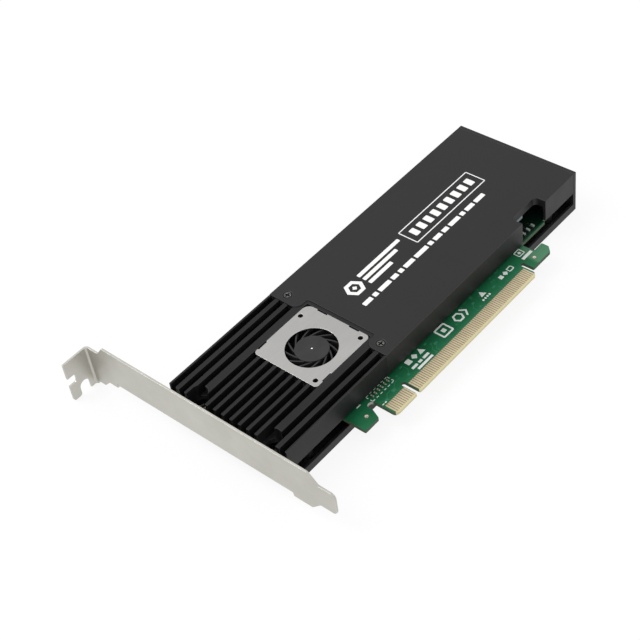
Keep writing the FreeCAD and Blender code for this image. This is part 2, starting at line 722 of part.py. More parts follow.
# ---------------------------------------------------------------------------------------------
# Slot bracket
# ---------------------------------------------------------------------------------------------
def make_bracket():
    """Folded steel bracket: blade, flange with two tapped ears, and the notched lip at its top."""
    bracket = body("slot_bracket")
    thick = g.sheet_thickness
    low, high = g.bracket_edge, g.bracket_edge + g.bracket_width
    top = g.bracket_tip + g.bracket_height
    middle = (low + high) / 2
    half_tip = g.tip_width / 2
    under = -g.board_thickness
    outer = g.bend_radius + thick
    tip_top = g.bracket_tip + g.tip_height
    shoulder = tip_top + (g.bracket_width - g.tip_width) / 2
    face, back = bracket_face, bracket_face + thick
    notch_along = face - g.notch_reach
    blade = outline([
        (g.bracket_tip, middle - half_tip, 2.0), (tip_top, middle - half_tip, 0.8),
        (shoulder, low, 0.8), (g.lug_height, low, 0.3), (g.lug_height, under + g.bend_radius),
        (g.flange_top, under + g.bend_radius), (g.flange_top, low, 0.3), (g.neck_low_start, low, 0.6),
        (g.neck_low_end, g.neck_low, 0.6), (top - outer, g.neck_low), (top - outer, g.lip_high),
        (g.neck_high_end, g.lip_high, 0.8), (g.neck_high_start, high, 0.8), (shoulder, high, 0.8),
        (tip_top, middle + half_tip, 0.8), (g.bracket_tip, middle + half_tip, 2.0)])
    pad(bracket, "blade", [blade], BRACKET_FACE, "sheet_thickness", role="YZ_Plane")
    lip_end = face - g.lip_reach
    lip_profile = outline([(back, top - outer), (back, top, outer * 0.999), (lip_end, top),
                           (lip_end, top - thick), (face, top - thick, g.bend_radius * 0.999),
                           (face, top - outer)])
    pad(bracket, "lip", [lip_profile], "lip_low", "lip_high - lip_low")
    half = g.notch_width / 2
    open_end, corner = g.lip_low - 1, g.lip_corner
    screw_notch = outline([(notch_along - half - corner, open_end), (notch_along + half, open_end),
                           (notch_along + half, g.notch_end, half * 0.98),
                           (notch_along - half, g.notch_end, half * 0.98),
                           (notch_along - half, g.lip_low, corner * 0.999),
                           (notch_along - half - corner, g.lip_low)])
    end_corner = outline([(lip_end - 1, g.lip_low + corner), (lip_end, g.lip_low + corner),
                          (lip_end, g.lip_low, corner * 0.999), (lip_end + corner, g.lip_low),
                          (lip_end + corner, open_end), (lip_end - 1, open_end)])
    side_end = lip_end + g.side_notch_depth
    side_notch = outline([(lip_end - 1, g.side_notch_low), (side_end, g.side_notch_low, 1.0),
                          (side_end, g.side_notch_high, 1.0), (lip_end - 1, g.side_notch_high)])
    under_lip = "-(bracket_tip + bracket_height - 2 * sheet_thickness)"
    pocket(bracket, "lip_notches", [screw_notch, side_notch, end_corner], under_lip, "3 * sheet_thickness",
           role="XZ_Plane")
    reach = back + g.flange_reach
    flange = outline([(face, under + g.bend_radius), (face, under - thick, outer * 0.999),
                      (reach, under - thick), (reach, under), (back, under, g.bend_radius * 0.999),
                      (back, under + g.bend_radius)])
    pad(bracket, "flange", [flange], "-flange_top", "flange_top - lug_height", role="XZ_Plane")
    ear_end = bracket_screw_along + g.bracket_ear_width / 2
    for count, (x, y) in enumerate(bracket_screws, start=1):
        half = g.bracket_ear_width / 2
        ear = outline([(reach - thick / 2, y - half), (ear_end, y - half, g.bracket_ear_round),
                       (ear_end, y + half, g.bracket_ear_round), (reach - thick / 2, y + half)])
        pad(bracket, f"ear_{count}", [ear], "-board_thickness - sheet_thickness", "sheet_thickness")
        pad(bracket, f"collar_{count}", [circle(x, y, g.collar_radius)],
            "-board_thickness - sheet_thickness - collar_depth", "collar_depth")
        pocket(bracket, f"thread_{count}", [circle(x, y, g.bracket_screw_radius + g.screw_fit)],
               "-board_thickness", "sheet_thickness + collar_depth + 0.1")
    return bracket


def pan_screw(name, x, y):
    """Pan-headed bracket screw with its head on the board."""
    shank = rod(f"{name}_shank", x, y, "-bracket_screw_length", "bracket_screw_radius",
                "bracket_screw_length")
    head = rod(f"{name}_head", x, y, "0", "bracket_head_radius", "bracket_head_height * 0.55")
    crown = cone(f"{name}_crown", x, y, "bracket_head_height * 0.55", "bracket_head_radius",
                 "bracket_head_radius * 0.72", "bracket_head_height * 0.45")
    return joined(name, shank, head, crown)


keep("slot_bracket", make_bracket())
keep("bracket_screws", grouped("bracket_screws", *[
    pan_screw(f"bracket_screw_{i}", BRACKET_SCREW_ALONG, up)
    for i, up in enumerate(("bracket_screw_near", "bracket_screw_far"), start=1)]))


# ---------------------------------------------------------------------------------------------
# Blower
# ---------------------------------------------------------------------------------------------
FRAME_TOP = f"{PLATE_TOP} - plate_thickness"
MOTOR_FLOOR = "bay_floor + frame_floor"
HUB_TOP = f"{FRAME_TOP} - hub_drop"
HUB_FOOT = f"{MOTOR_FLOOR} + blade_lift"
STATOR_FOOT = f"{MOTOR_FLOOR} + motor_board + coil_swell"
fan_right, fan_far = fan_left + g.fan_square, fan_near + g.fan_square
fan_holes = [(fan_left + g.fan_hole_inset, fan_near + g.fan_hole_inset),
             (fan_right - g.fan_hole_inset, fan_near + g.fan_hole_inset),
             (fan_right - g.fan_hole_run, fan_far - g.fan_hole_drop)]


def make_blower_frame():
    """Moulded frame: floor, volute walls open towards the fins, three posts and the motor boss."""
    frame = body("blower_frame")
    pad(frame, "frame_block", [rectangle(fan_left, fan_right, fan_near, fan_far, g.fan_corner)],
        "bay_floor", f"{FRAME_TOP} - bay_floor")
    throat = g.blade_radius + g.volute_gap
    depth = f"{FRAME_TOP} - ({MOTOR_FLOOR})"
    pocket(frame, "volute", [circle(fan_x, fan_y, throat)], FRAME_TOP, depth)
    pocket(frame, "volute_swell", [circle(fan_x + g.volute_gap, fan_y + g.volute_gap, throat + g.volute_gap)],
           FRAME_TOP, depth)
    outlet_low = fan_near + 2 * g.fan_hole_inset
    outlet = rectangle(fan_left - 1, fan_x, outlet_low, fan_far - g.frame_wall)
    pocket(frame, "outlet", [outlet], FRAME_TOP, depth)
    pad(frame, "motor_boss", [circle(fan_x, fan_y, g.bearing_radius + g.boss_wall)], MOTOR_FLOOR,
        "stator_height + motor_board + coil_swell + 0.4")
    pocket(frame, "bearing_bore", [circle(fan_x, fan_y, g.bearing_radius)],
           f"{MOTOR_FLOOR} + stator_height + motor_board + coil_swell + 0.4",
           "stator_height + motor_board + coil_swell + 0.4")
    pocket(frame, "screw_bores", [circle(x, y, g.fan_hole_radius) for x, y in fan_holes], FRAME_TOP,
           f"{FRAME_TOP} - bay_floor")
    return frame


def make_blower_plate():
    """Stamped cover plate: offset intake, three holes and shallow clip notches in its edges."""
    plate = body("blower_plate")
    left, right, near, far = fan_left, fan_right, fan_near, fan_far
    notch, run = g.clip_depth, g.clip_length
    inset, top_inset = g.clip_inset, g.clip_inset_far
    first, second = near + g.clip_inset_right, far - g.clip_inset_right
    plan = outline([
        (left, near, 1.4), (left + inset, near), (left + inset, near + notch),
        (left + inset + run, near + notch), (left + inset + run, near), (right, near, 1.8),
        (right, first), (right - notch, first),
        (right - notch, first + run), (right, first + run), (right, second - run),
        (right - notch, second - run), (right - notch, second), (right, second),
        (right, far, g.fan_corner + 1), (left + top_inset + run, far),
        (left + top_inset + run, far - notch), (left + top_inset, far - notch), (left + top_inset, far),
        (left, far, 1.8)])
    pad(plate, "plate_sheet", [plan], FRAME_TOP, "plate_thickness")
    cuts = [circle(fan_x, fan_y, g.intake_radius)]
    cuts += [circle(x, y, g.fan_hole_radius) for x, y in fan_holes]
    pocket(plate, "intake_and_holes", cuts, PLATE_TOP, "plate_thickness")
    return plate


def blade_outline():
    """Backward-swept blade: two bowed sides between the hub's wall and the blade tip's circle."""
    centre = Vector(fan_x, fan_y, 0)
    start, end = math.radians(g.blade_start), math.radians(g.blade_start - g.blade_sweep)
    root = centre + Vector(math.cos(start), math.sin(start), 0) * (g.hub_radius - g.hub_wall / 2)
    tip = centre + Vector(math.cos(end), math.sin(end), 0) * g.blade_radius
    along = (tip - root).normalize()
    across = Vector(-along.y, along.x, 0)
    half = across * (g.blade_width / 2)
    bow = across * g.blade_bow
    middle = (root + tip) / 2
    upper = Part.Arc(root + half, middle + half + bow, tip + half)
    lower = Part.Arc(root - half, middle - half + bow, tip - half)
    return [upper, Part.LineSegment(tip + half, tip - half), lower,
            Part.LineSegment(root - half, root + half)]


def make_impeller():
    """Hub cup with swept blades round it and a bore for the shaft."""
    impeller = body("blower_impeller")
    pad(impeller, "hub", [circle(fan_x, fan_y, g.hub_radius)], HUB_FOOT, f"{HUB_TOP} - ({HUB_FOOT})")
    pocket(impeller, "hub_cup", [circle(fan_x, fan_y, g.hub_radius - g.hub_wall)], f"{HUB_TOP} - hub_cap",
           f"{HUB_TOP} - hub_cap - ({HUB_FOOT})")
    pocket(impeller, "shaft_bore", [circle(fan_x, fan_y, g.shaft_radius)], f"{HUB_TOP} - hub_cap / 3",
           "hub_cap")
    blade = pad(impeller, "blade", [blade_outline()], HUB_FOOT, f"{HUB_TOP} - blade_drop - ({HUB_FOOT})")
    centre = sketch(impeller, "axis_sketch", [], HUB_FOOT)
    centre.addGeometry(Part.LineSegment(Vector(fan_x, fan_y, 0), Vector(fan_x + 1, fan_y, 0)), True)
    centre.AttachmentOffset = FreeCAD.Placement(Vector(fan_x, fan_y, 0), Rotation())
    bind(centre, AttachmentOffset__Base__x=FAN_ALONG, AttachmentOffset__Base__y=FAN_UP)
    ring = impeller.newObject("PartDesign::PolarPattern", "blades")
    ring.Originals = [blade]
    ring.Axis = (centre, ["N_Axis"])
    ring.Angle = 360
    bind(ring, Occurrences="blade_count")
    impeller.Tip = ring
    return impeller


def make_stator():
    """Laminated core: ring on the boss with straight arms, and a coil round each arm."""
    foot, tall = STATOR_FOOT, "stator_height - coil_swell"
    core_radius = "hub_radius - hub_wall - magnet_width - magnet_gap"
    boss = "bearing_radius + boss_wall"
    disc = rod("core_disc", FAN_ALONG, FAN_UP, foot, core_radius, tall)
    yoke = rod("core_yoke", FAN_ALONG, FAN_UP, foot, f"{boss} + 0.5", tall)
    bore = rod("core_bore", FAN_ALONG, FAN_UP, foot, boss, tall)
    face_ring = cut("core_shoe_ring", disc, rod("core_shoe_bore", FAN_ALONG, FAN_UP, foot,
                                                f"{core_radius} - 0.5", tall))
    gaps, arms, coils = [], [yoke], []
    for turn in range(int(g.stator_arms)):
        angle = 360 / int(g.stator_arms) * turn
        arm = block(f"core_arm_{turn + 1}", FAN_ALONG, FAN_UP, foot, f"{core_radius} - 0.2",
                    "stator_arm_width", tall)
        spin = Rotation(Vector(0, 0, 1), angle)
        aim(arm, spin, "stator_arm_width")
        arms.append(arm)
        opening = block(f"core_opening_{turn + 1}", FAN_ALONG, FAN_UP, foot, f"{core_radius} + 1",
                        "stator_arm_width", tall)
        aim(opening, Rotation(Vector(0, 0, 1), angle + 180 / int(g.stator_arms)), "stator_arm_width")
        gaps.append(opening)
        coils.append(make_coil(turn + 1, angle, core_radius, boss))
    shoes = cut("core_shoes", face_ring, *gaps)
    core = cut("blower_stator", joined("core_blank", shoes, *arms), bore)
    return keep("blower_stator", core), keep("blower_coils", grouped("blower_coils", *coils))


def aim(solid, spin, width):
    """Turn a block about the blower's axis so that it points outwards, centred on its width."""
    half = number(width) / 2
    offset = spin.multVec(Vector(0, -half, 0))
    solid.Placement.Rotation = spin
    bind(solid, Placement__Base__x=f"{FAN_ALONG} + ({offset.x})",
         Placement__Base__y=f"{FAN_UP} + ({offset.y})")


def make_coil(count, angle, core_radius, boss):
    """Winding round one arm: a block with the arm's section taken out."""
    spin = Rotation(Vector(0, 0, 1), angle)
    start = number(f"{boss} + 0.5")
    width = "stator_arm_width + 2 * coil_swell"
    outer = block(f"coil_outer_{count}", FAN_ALONG, FAN_UP, f"{STATOR_FOOT} - coil_swell",
                  f"{core_radius} - 1.1 - ({boss} + 0.6)", width, "stator_height + coil_swell")
    inner = block(f"coil_inner_{count}", FAN_ALONG, FAN_UP, STATOR_FOOT, f"{core_radius}",
                  "stator_arm_width", "stator_height - coil_swell")
    for solid, wide, forward in ((outer, width, start + 0.1), (inner, "stator_arm_width", start)):
        place = spin.multVec(Vector(forward, -number(wide) / 2, 0))
        solid.Placement.Rotation = spin
        bind(solid, Placement__Base__x=f"{FAN_ALONG} + ({place.x})",
             Placement__Base__y=f"{FAN_UP} + ({place.y})")
    return cut(f"coil_{count}", outer, inner)


def tube(name, foot, outer, inner, height):
    """Upright tube on the blower's axis."""
    return cut(name, rod(f"{name}_outer", FAN_ALONG, FAN_UP, foot, outer, height),
               rod(f"{name}_bore", FAN_ALONG, FAN_UP, foot, inner, height))


keep("blower_frame", make_blower_frame())
keep("blower_plate", make_blower_plate())
keep("blower_impeller", make_impeller())
keep("blower_shaft", rod("blower_shaft", FAN_ALONG, FAN_UP, f"{MOTOR_FLOOR} + 0.1", "shaft_radius",
                         f"{HUB_TOP} - hub_cap / 3 - ({MOTOR_FLOOR} + 0.1)"))
keep("blower_bearing", tube("blower_bearing", MOTOR_FLOOR, "bearing_radius", "shaft_radius + shaft_fit",
                            "stator_height + motor_board + coil_swell + 0.4"))
keep("blower_magnet", tube("blower_magnet", f"{HUB_FOOT} + 0.2", "hub_radius - hub_wall",
                           "hub_radius - hub_wall - magnet_width",
                           f"{HUB_TOP} - hub_cap - ({HUB_FOOT} + 0.2)"))
keep("blower_motor_board", tube("blower_motor_board", MOTOR_FLOOR,
                                "hub_radius - hub_wall - magnet_width - magnet_gap",
                                "bearing_radius + boss_wall", "motor_board"))
make_stator()


# ---------------------------------------------------------------------------------------------
# Electronics on the board
# ---------------------------------------------------------------------------------------------
def middle_block(name, x, y, z, length, width, height):
    """Block centred on a place, from a foot level."""
    return block(name, f"{x} - ({length}) / 2", f"{y} - ({width}) / 2", z, length, width, height)


keep("switch_chip", joined(
    "switch_chip",
    middle_block("chip_carrier", "chip_along", "chip_up", "0", "chip_square", "chip_square", "chip_base"),
    middle_block("chip_lid", "chip_along", "chip_up", "chip_base", "die_square", "die_square",
                 "die_height")))
keep("chip_thermal_pad", middle_block("chip_pad", "chip_along", "chip_up", "chip_base + die_height",
                                      "die_square", "die_square",
                                      "slab_foot - chip_base - die_height"))


def drive_socket(name, up, upper):
    """Module socket: body with its card slot, key post and two side walls."""
    height = "socket_height"
    foot = "0" if upper else "-board_thickness - socket_height"
    slot_foot = "slot_lift" if upper else "-board_thickness - slot_lift - slot_height"
    left, near = "socket_left", f"{up} - socket_width / 2"
    shell = block(f"{name}_shell", left, near, foot, "socket_depth", "socket_width", height)
    slot_back = f"{left} + socket_depth - slot_depth"
    slot_near = f"{up} - drive_width / 2 + 1"
    slot = block(f"{name}_slot", slot_back, slot_near, slot_foot,
                 "slot_depth + 1", "drive_width - 2", "slot_height")
    key_post = block(f"{name}_key", slot_back, f"{up} + drive_width / 4", slot_foot,
                     "slot_depth", "slot_key", "slot_height")
    nose_foot = "slot_lift + slot_height" if upper else "-board_thickness - socket_height"
    nose = block(f"{name}_nose", f"{left} + socket_depth - slot_depth / 3", slot_near,
                 nose_foot, "slot_depth", "drive_width - 2", "socket_height - slot_lift - slot_height")
    hollowed = cut(f"{name}_body", shell, joined(f"{name}_room", slot, nose))
    return joined(f"{name}_with_key", hollowed, key_post)


for level in ("upper", "lower"):
    for place in ("near", "far"):
        socket_name = f"{level}_{place}_drive_socket"
        keep(socket_name, drive_socket(socket_name, f"drive_{place}", level == "upper"))

DRIVE_END = "socket_left + socket_depth - slot_depth + drive_length"


def drive_fixings(level):
    """Stand-offs for the modules' free ends, and the small screws in them."""
    upper = level == "upper"
    standoffs, screws = [], []
    for place in ("near", "far"):
        up = f"drive_{place}"
        seat = "0" if upper else "-board_thickness - drive_seat"
        post = rod(f"{level}_{place}_post", DRIVE_END, up, seat, "standoff_radius", "drive_seat")
        bore = rod(f"{level}_{place}_post_bore", DRIVE_END, up, seat, "screw_radius + screw_fit",
                   "drive_seat")
        standoffs.append(cut(f"{level}_{place}_standoff", post, bore))
        head = "drive_seat" if upper else "-board_thickness - drive_seat - drive_head_height"
        shank = "0.3" if upper else "-board_thickness - drive_seat"
        cap = rod(f"{level}_{place}_cap", DRIVE_END, up, head, "drive_head_radius", "drive_head_height")
        stem = rod(f"{level}_{place}_stem", DRIVE_END, up, shank, "screw_radius", "drive_seat - 0.3")
        screws.append(joined(f"{level}_{place}_drive_screw", cap, stem))
    keep(f"{level}_standoffs", grouped(f"{level}_standoffs", *standoffs))
    keep(f"{level}_drive_screws", grouped(f"{level}_drive_screws", *screws))


def thermal_pads(level, foot, thickness):
    """Soft pads, one over each module, stuck to the cover or the base."""
    left = "socket_left + socket_depth + pad_margin"
    pads = [block(f"{level}_{place}_pad", left, f"drive_{place} - drive_width / 2 + 1", foot,
                  f"{DRIVE_END} - 2 * pad_margin - ({left})", "drive_width - 2", thickness)
            for place in ("near", "far")]
    keep(f"{level}_thermal_pads", grouped(f"{level}_thermal_pads", *pads))


drive_fixings("upper")
drive_fixings("lower")
thermal_pads("upper", f"{COVER_CEILING} - pad_thickness", "pad_thickness")
thermal_pads("lower", BASE_TOP, "lower_pad_thickness")

small_parts = [middle_block(f"edge_capacitor_{i + 1}", f"small_part_along + {i} * small_part_pitch",
                            "small_part_up", "0", "small_part_length", "small_part_width",
                            "small_part_height")
               for i in range(int(g.small_part_count))]
keep("edge_capacitors", grouped("edge_capacitors", *small_parts))
lights = [middle_block(f"status_light_{i + 1}", f"light_along + {i} * light_pitch", "light_up", "0",
                       "light_length", "light_width", "light_height") for i in range(int(g.light_count))]
keep("status_lights", grouped("status_lights", *lights))
resistors = [middle_block(f"light_resistor_{i + 1}", f"light_along + {i} * light_pitch",
                          "light_up + resistor_shift", "0", "small_part_length", "resistor_width",
                          "resistor_height") for i in range(int(g.light_count))]
keep("light_resistors", grouped("light_resistors", *resistors))
inductors = [middle_block(f"power_inductor_{i + 1}", "inductor_along", f"inductor_up + {i} * inductor_pitch",
                          "0", "inductor_square", "inductor_square", "inductor_height")
             for i in range(int(g.inductor_count))]
keep("power_inductors", grouped("power_inductors", *inductors))
regulators = [middle_block(f"regulator_chip_{i + 1}", "inductor_along + inductor_square",
                           f"inductor_up + {i} * inductor_pitch", "0", "regulator_length",
                           "regulator_width", "regulator_height")
              for i in range(int(g.inductor_count))]
keep("regulator_chips", grouped("regulator_chips", *regulators))
bulk = [middle_block(f"bulk_capacitor_{i + 1}", "bulk_along", f"inductor_up + {i} * inductor_pitch / 2", "0",
                     "bulk_length", "bulk_width", "bulk_height") for i in range(int(g.bulk_count))]
keep("bulk_capacitors", grouped("bulk_capacitors", *bulk))
keep("clock_chip", middle_block("clock_chip", "clock_along", "clock_up", "0", "clock_square", "clock_square",
                                "clock_height"))
keep("memory_chip", middle_block("memory_chip", "memory_along", "memory_up", "0", "memory_length",
                                 "memory_width", "memory_height"))
header = middle_block("header_block", "header_along", FAN_UP, "0", "header_length", "header_width",
                      "header_height")
header_slot = middle_block("header_slot", "header_along + 2 * header_wall", FAN_UP, "header_wall",
                           "header_length", "header_width - 2 * header_wall",
                           "header_height - 2 * header_wall")
keep("blower_header", cut("blower_header", header, header_slot))


# ---------------------------------------------------------------------------------------------
# Writing the pieces
# ---------------------------------------------------------------------------------------------
doc.recompute()
for item in doc.Objects:
    faults = {"Invalid", "Error"}.intersection(item.State)
    if faults:
        raise RuntimeError(f"{item.Label} failed to build: {sorted(faults)}")
os.makedirs("parts", exist_ok=True)
for name, item in pieces.items():
    if item.Shape.isNull() or not item.Shape.isValid():
        raise RuntimeError(f"{name} has no sound shape")
    item.Shape.exportStep(f"parts/{name}.step")
    print(name, len(item.Shape.Solids), round(item.Shape.Volume, 1))
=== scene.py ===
"""Finishes, small parts, ink marks, floor, lights and camera for the drive adapter card."""
import math

import bmesh
import bpy
import numpy as np
from mathutils import Matrix, Vector


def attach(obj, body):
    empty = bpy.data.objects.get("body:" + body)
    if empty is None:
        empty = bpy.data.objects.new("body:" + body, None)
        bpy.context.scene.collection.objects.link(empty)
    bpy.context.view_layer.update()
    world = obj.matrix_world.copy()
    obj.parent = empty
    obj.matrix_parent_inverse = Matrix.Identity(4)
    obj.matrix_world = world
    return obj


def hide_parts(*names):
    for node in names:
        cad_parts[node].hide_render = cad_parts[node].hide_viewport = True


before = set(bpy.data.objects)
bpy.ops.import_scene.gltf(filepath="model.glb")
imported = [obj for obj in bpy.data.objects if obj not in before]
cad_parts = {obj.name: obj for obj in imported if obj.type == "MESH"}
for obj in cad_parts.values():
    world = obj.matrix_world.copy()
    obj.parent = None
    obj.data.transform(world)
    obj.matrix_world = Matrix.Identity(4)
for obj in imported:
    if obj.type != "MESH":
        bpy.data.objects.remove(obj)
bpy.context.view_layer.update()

MM = 0.001                      # one millimetre in scene units
CARD, ROTOR = "card", "rotor"   # the two bodies
MERGE_REACH = 2e-6              # metres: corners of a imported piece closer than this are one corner
FLAT_REACH = 1e-6               # metres: a face with less depth along an axis lies square to it
SAME_PLANE_ANGLE = 0.6          # degrees: faces that bend less are one face
SHARP_ANGLE = 38.0              # degrees: edges that bend more are broken
HEAD_SPOKES = 96                # steps round a screw head
RIM_START, RIM_WIDTH = 0.92, 0.08                          # shares of its radius
HEAD_RINGS = np.concatenate([np.linspace(0.04, RIM_START, 26), [0.97, 1.0]])   # the same
RECESS_ARM, RECESS_REACH, RECESS_DEPTH = 0.13, 0.6, 0.36   # the same
ARM_FADE, REACH_FADE, RIM_DROP = 0.1, 0.2, 0.08            # millimetres


# ---------------------------------------------------------------------------------------------
# Meshes
# ---------------------------------------------------------------------------------------------
def mesh_piece(name, vertices, faces, finishes, body=CARD, groups=None, smooth=True):
    """Object from vertex positions in millimetres and a list of faces, riding on a body."""
    mesh = bpy.data.meshes.new(name)
    mesh.from_pydata((np.asarray(vertices, float) * MM).tolist(), [], faces)
    for finish in finishes:
        mesh.materials.append(finish)
    if groups is not None:
        mesh.polygons.foreach_set("material_index", np.asarray(groups, np.int32))
    mesh.polygons.foreach_set("use_smooth", np.full(len(mesh.polygons), smooth))
    mesh.update()
    piece = bpy.data.objects.new(name, mesh)
    bpy.context.scene.collection.objects.link(piece)
    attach(piece, body)
    return piece


def grid_faces(rows, columns, closed_rows=False, closed_columns=False, first=0):
    """Quads of a rows x columns grid of vertices; either direction can run round to its start."""
    r = np.arange(rows if closed_rows else rows - 1)
    c = np.arange(columns if closed_columns else columns - 1)
    r, c = np.meshgrid(r, c, indexing="ij")
    up, on = (r + 1) % rows, (c + 1) % columns
    quads = np.stack([r * columns + c, r * columns + on, up * columns + on, up * columns + c], -1)
    return (quads.reshape(-1, 4) + first).tolist()


def merged(parts):
    """One vertex array and one face list from several (vertices, faces) parts."""
    vertices, faces, first = [], [], 0
    for points, loops in parts:
        vertices.append(np.asarray(points, float))
        faces += [[index + first for index in loop] for loop in loops]
        first += len(points)
    return np.concatenate(vertices), faces


def soft_block(low, high, round_off, steps=3):
    """Block with rounded edges: a sphere grid p(u, v) whose points are pulled to radius round_off
    and then pushed out by the half sides less round_off, each axis by the sign of its own part."""
    low, high = np.asarray(low, float), np.asarray(high, float)
    middle, half = (low + high) / 2, (high - low) / 2
    quarter = np.linspace(0, math.pi / 2, steps + 1)
    turn = np.concatenate([quarter + k * math.pi / 2 for k in range(4)])
    sign_turn = np.repeat([[1, 1], [-1, 1], [-1, -1], [1, -1]], steps + 1, axis=0)
    lift = np.concatenate([-quarter[::-1], quarter])
    sign_lift = np.repeat([-1.0, 1.0], steps + 1)
    u, v = np.meshgrid(lift, turn, indexing="ij")
    ball = np.stack([np.cos(u) * np.cos(v), np.cos(u) * np.sin(v), np.sin(u)], -1)
    signs = np.stack([np.broadcast_to(part, u.shape)
                      for part in (sign_turn[:, 0], sign_turn[:, 1], sign_lift[:, None])], -1)
    points = (middle + ball * round_off + signs * (half - round_off)).reshape(-1, 3)
    rows, columns = len(lift), len(turn)
    faces = grid_faces(rows, columns, closed_columns=True)
    faces.append(list(range(columns))[::-1])
    faces.append(list(range((rows - 1) * columns, rows * columns)))
    return points, faces


def flat_patch(outline_points, level):
    """Thin flat face on a closed outline at one height: ink or a pad."""
    outline_points = np.asarray(outline_points, float)
    points = np.column_stack([outline_points, np.full(len(outline_points), level)])
    return points, [list(range(len(points)))]


def stroke(centre_line, width, level, closed=False):
    """Ink line: the centre line's points moved half the width to each side, square to its run."""
    line = np.asarray(centre_line, float)
    run = np.roll(line, -1, 0) - np.roll(line, 1, 0)
    if not closed:
        run[0], run[-1] = line[1] - line[0], line[-1] - line[-2]
    run /= np.linalg.norm(run, axis=1, keepdims=True)
    side = np.column_stack([-run[:, 1], run[:, 0]]) * width / 2
    corner = np.ones((len(line), 1))
    before, after = line - np.roll(line, 1, 0), np.roll(line, -1, 0) - line
    if closed or len(line) > 2:
        size = np.linalg.norm(before, axis=1) * np.linalg.norm(after, axis=1)
        bend = np.clip((before * after).sum(1) / np.maximum(size, 1e-12), -1, 1)
        mitre = 1 / np.sqrt((1 + bend) / 2)
        inner = slice(None) if closed else slice(1, -1)
        corner[inner, 0] = np.minimum(mitre[inner], 2)
    points = np.stack([line + side * corner, line - side * corner], 1).reshape(-1, 2)
    points = np.column_stack([points, np.full(len(points), level)])
    return points, [loop[::-1] for loop in grid_faces(len(line), 2, closed_rows=closed)]


def ring_line(x, y, radius, start=0.0, end=360.0, count=40):
    """Points of an arc: (x + r cos a, y + r sin a)."""
    angle = np.radians(np.linspace(start, end, count))
    return np.column_stack([x + radius * np.cos(angle), y + radius * np.sin(angle)])


def round_box_line(left, low, right, high, radius, count=6):
    """Closed line round a rectangle whose corners are quarter circles."""
    quarter = np.radians(np.linspace(0, 90, count))
    corners = [(right - radius, high - radius, 0), (left + radius, high - radius, 90),
               (left + radius, low + radius, 180), (right - radius, low + radius, 270)]
    return np.concatenate([np.column_stack([x + radius * np.cos(quarter + math.radians(turn)),
                                            y + radius * np.sin(quarter + math.radians(turn))])
                           for x, y, turn in corners])


def screw_head(x, y, top, radius, dome, taper_radius, drop, foot, shank, upwards=1):
    """Screw as one grid p(r, a): the face is z = dome (1 - (r/R)^2) less a cross recess whose
    depth fades with a smooth step across each arm, then the head's side, the shank and its
    closed foot."""
    angle = np.radians(np.linspace(0, 360, HEAD_SPOKES + 1)[:-1])
    r, a = np.meshgrid(HEAD_RINGS * radius, angle, indexing="ij")
    px, py = r * np.cos(a), r * np.sin(a)

    def fade(value, width):
        t = np.clip(value / width + 0.5, 0, 1)
        return t * t * (3 - 2 * t)

    arm, reach = radius * RECESS_ARM, radius * RECESS_REACH
    first_bar = fade(arm - np.abs(px), ARM_FADE) * fade(reach - np.abs(py), REACH_FADE)
    second_bar = fade(arm - np.abs(py), ARM_FADE) * fade(reach - np.abs(px), REACH_FADE)
    height = dome * (1 - (r / radius) ** 2)
    height -= np.maximum(first_bar, second_bar) * radius * RECESS_DEPTH
    rim = np.clip((HEAD_RINGS - RIM_START) / RIM_WIDTH, 0, 1)[:, None] ** 2 * RIM_DROP
    rings = [np.stack([px, py, height - rim], -1)]
    for ring_radius, level in ((taper_radius, -drop), (shank, -drop - 0.01),
                               (shank, -foot), (0.05, -foot)):
        flat = np.stack([ring_radius * np.cos(angle), ring_radius * np.sin(angle),
                         np.full(len(angle), level)], -1)
        rings.append(flat[None])
    points = np.concatenate(rings)
    rows = len(points)
    points = points.reshape(-1, 3) * (1, upwards, upwards) + (x, y, top)
    faces = [loop[::-1] for loop in grid_faces(rows, HEAD_SPOKES, closed_columns=True)]
    faces += [list(range(HEAD_SPOKES)),
              list(range((rows - 1) * HEAD_SPOKES, rows * HEAD_SPOKES))[::-1]]
    return points, faces


def screw_shade_groups(count, radius, rim):
    """Second finish, painted shade, for the recess and for what lies outside the rim, on each of
    count heads: faces are sorted by where their middles lie."""
    spoke = 360 / HEAD_SPOKES
    angle = np.radians(np.arange(HEAD_SPOKES) * spoke + 1.9)
    middles = (HEAD_RINGS[:-1] + HEAD_RINGS[1:]) / 2
    r, a = np.meshgrid(middles * radius, angle, indexing="ij")
    px, py = np.abs(r * np.cos(a)), np.abs(r * np.sin(a))
    arm, reach = radius * 0.15, radius * RECESS_REACH
    # faces painted with shade: the cross recess and the ring outside the rim
    dark = ((px < arm) & (py < reach)) | ((py < arm) & (px < reach)) | (r > rim)
    side_faces, end_faces = 4 * HEAD_SPOKES, 2
    one = np.concatenate([dark.ravel().astype(int), np.ones(side_faces + end_faces, int)])
    return np.tile(one, count)


def flat_faces_level(mesh, spots):
    """Corner normals of every face that lies in a level or upright plane are set square to it."""
    corner_spots = np.empty(len(mesh.loops), np.int32)
    mesh.loops.foreach_get("vertex_index", corner_spots)
    starts = np.empty(len(mesh.polygons), np.int32)
    mesh.polygons.foreach_get("loop_start", starts)
    sides = np.diff(np.append(starts, len(mesh.loops)))
    normals = np.empty(3 * len(mesh.loops), np.float32)
    mesh.corner_normals.foreach_get("vector", normals)
    normals = normals.reshape(-1, 3)
    for axis in range(3):
        level = spots[corner_spots, axis]
        reach = np.maximum.reduceat(level, starts) - np.minimum.reduceat(level, starts)
        flat = np.repeat(reach < FLAT_REACH, sides)
        facing = np.repeat(np.sign(np.add.reduceat(normals[:, axis], starts)), sides)
        normals[flat] = 0
        normals[flat, axis] = facing[flat]
    mesh.normals_split_custom_set(normals.tolist())


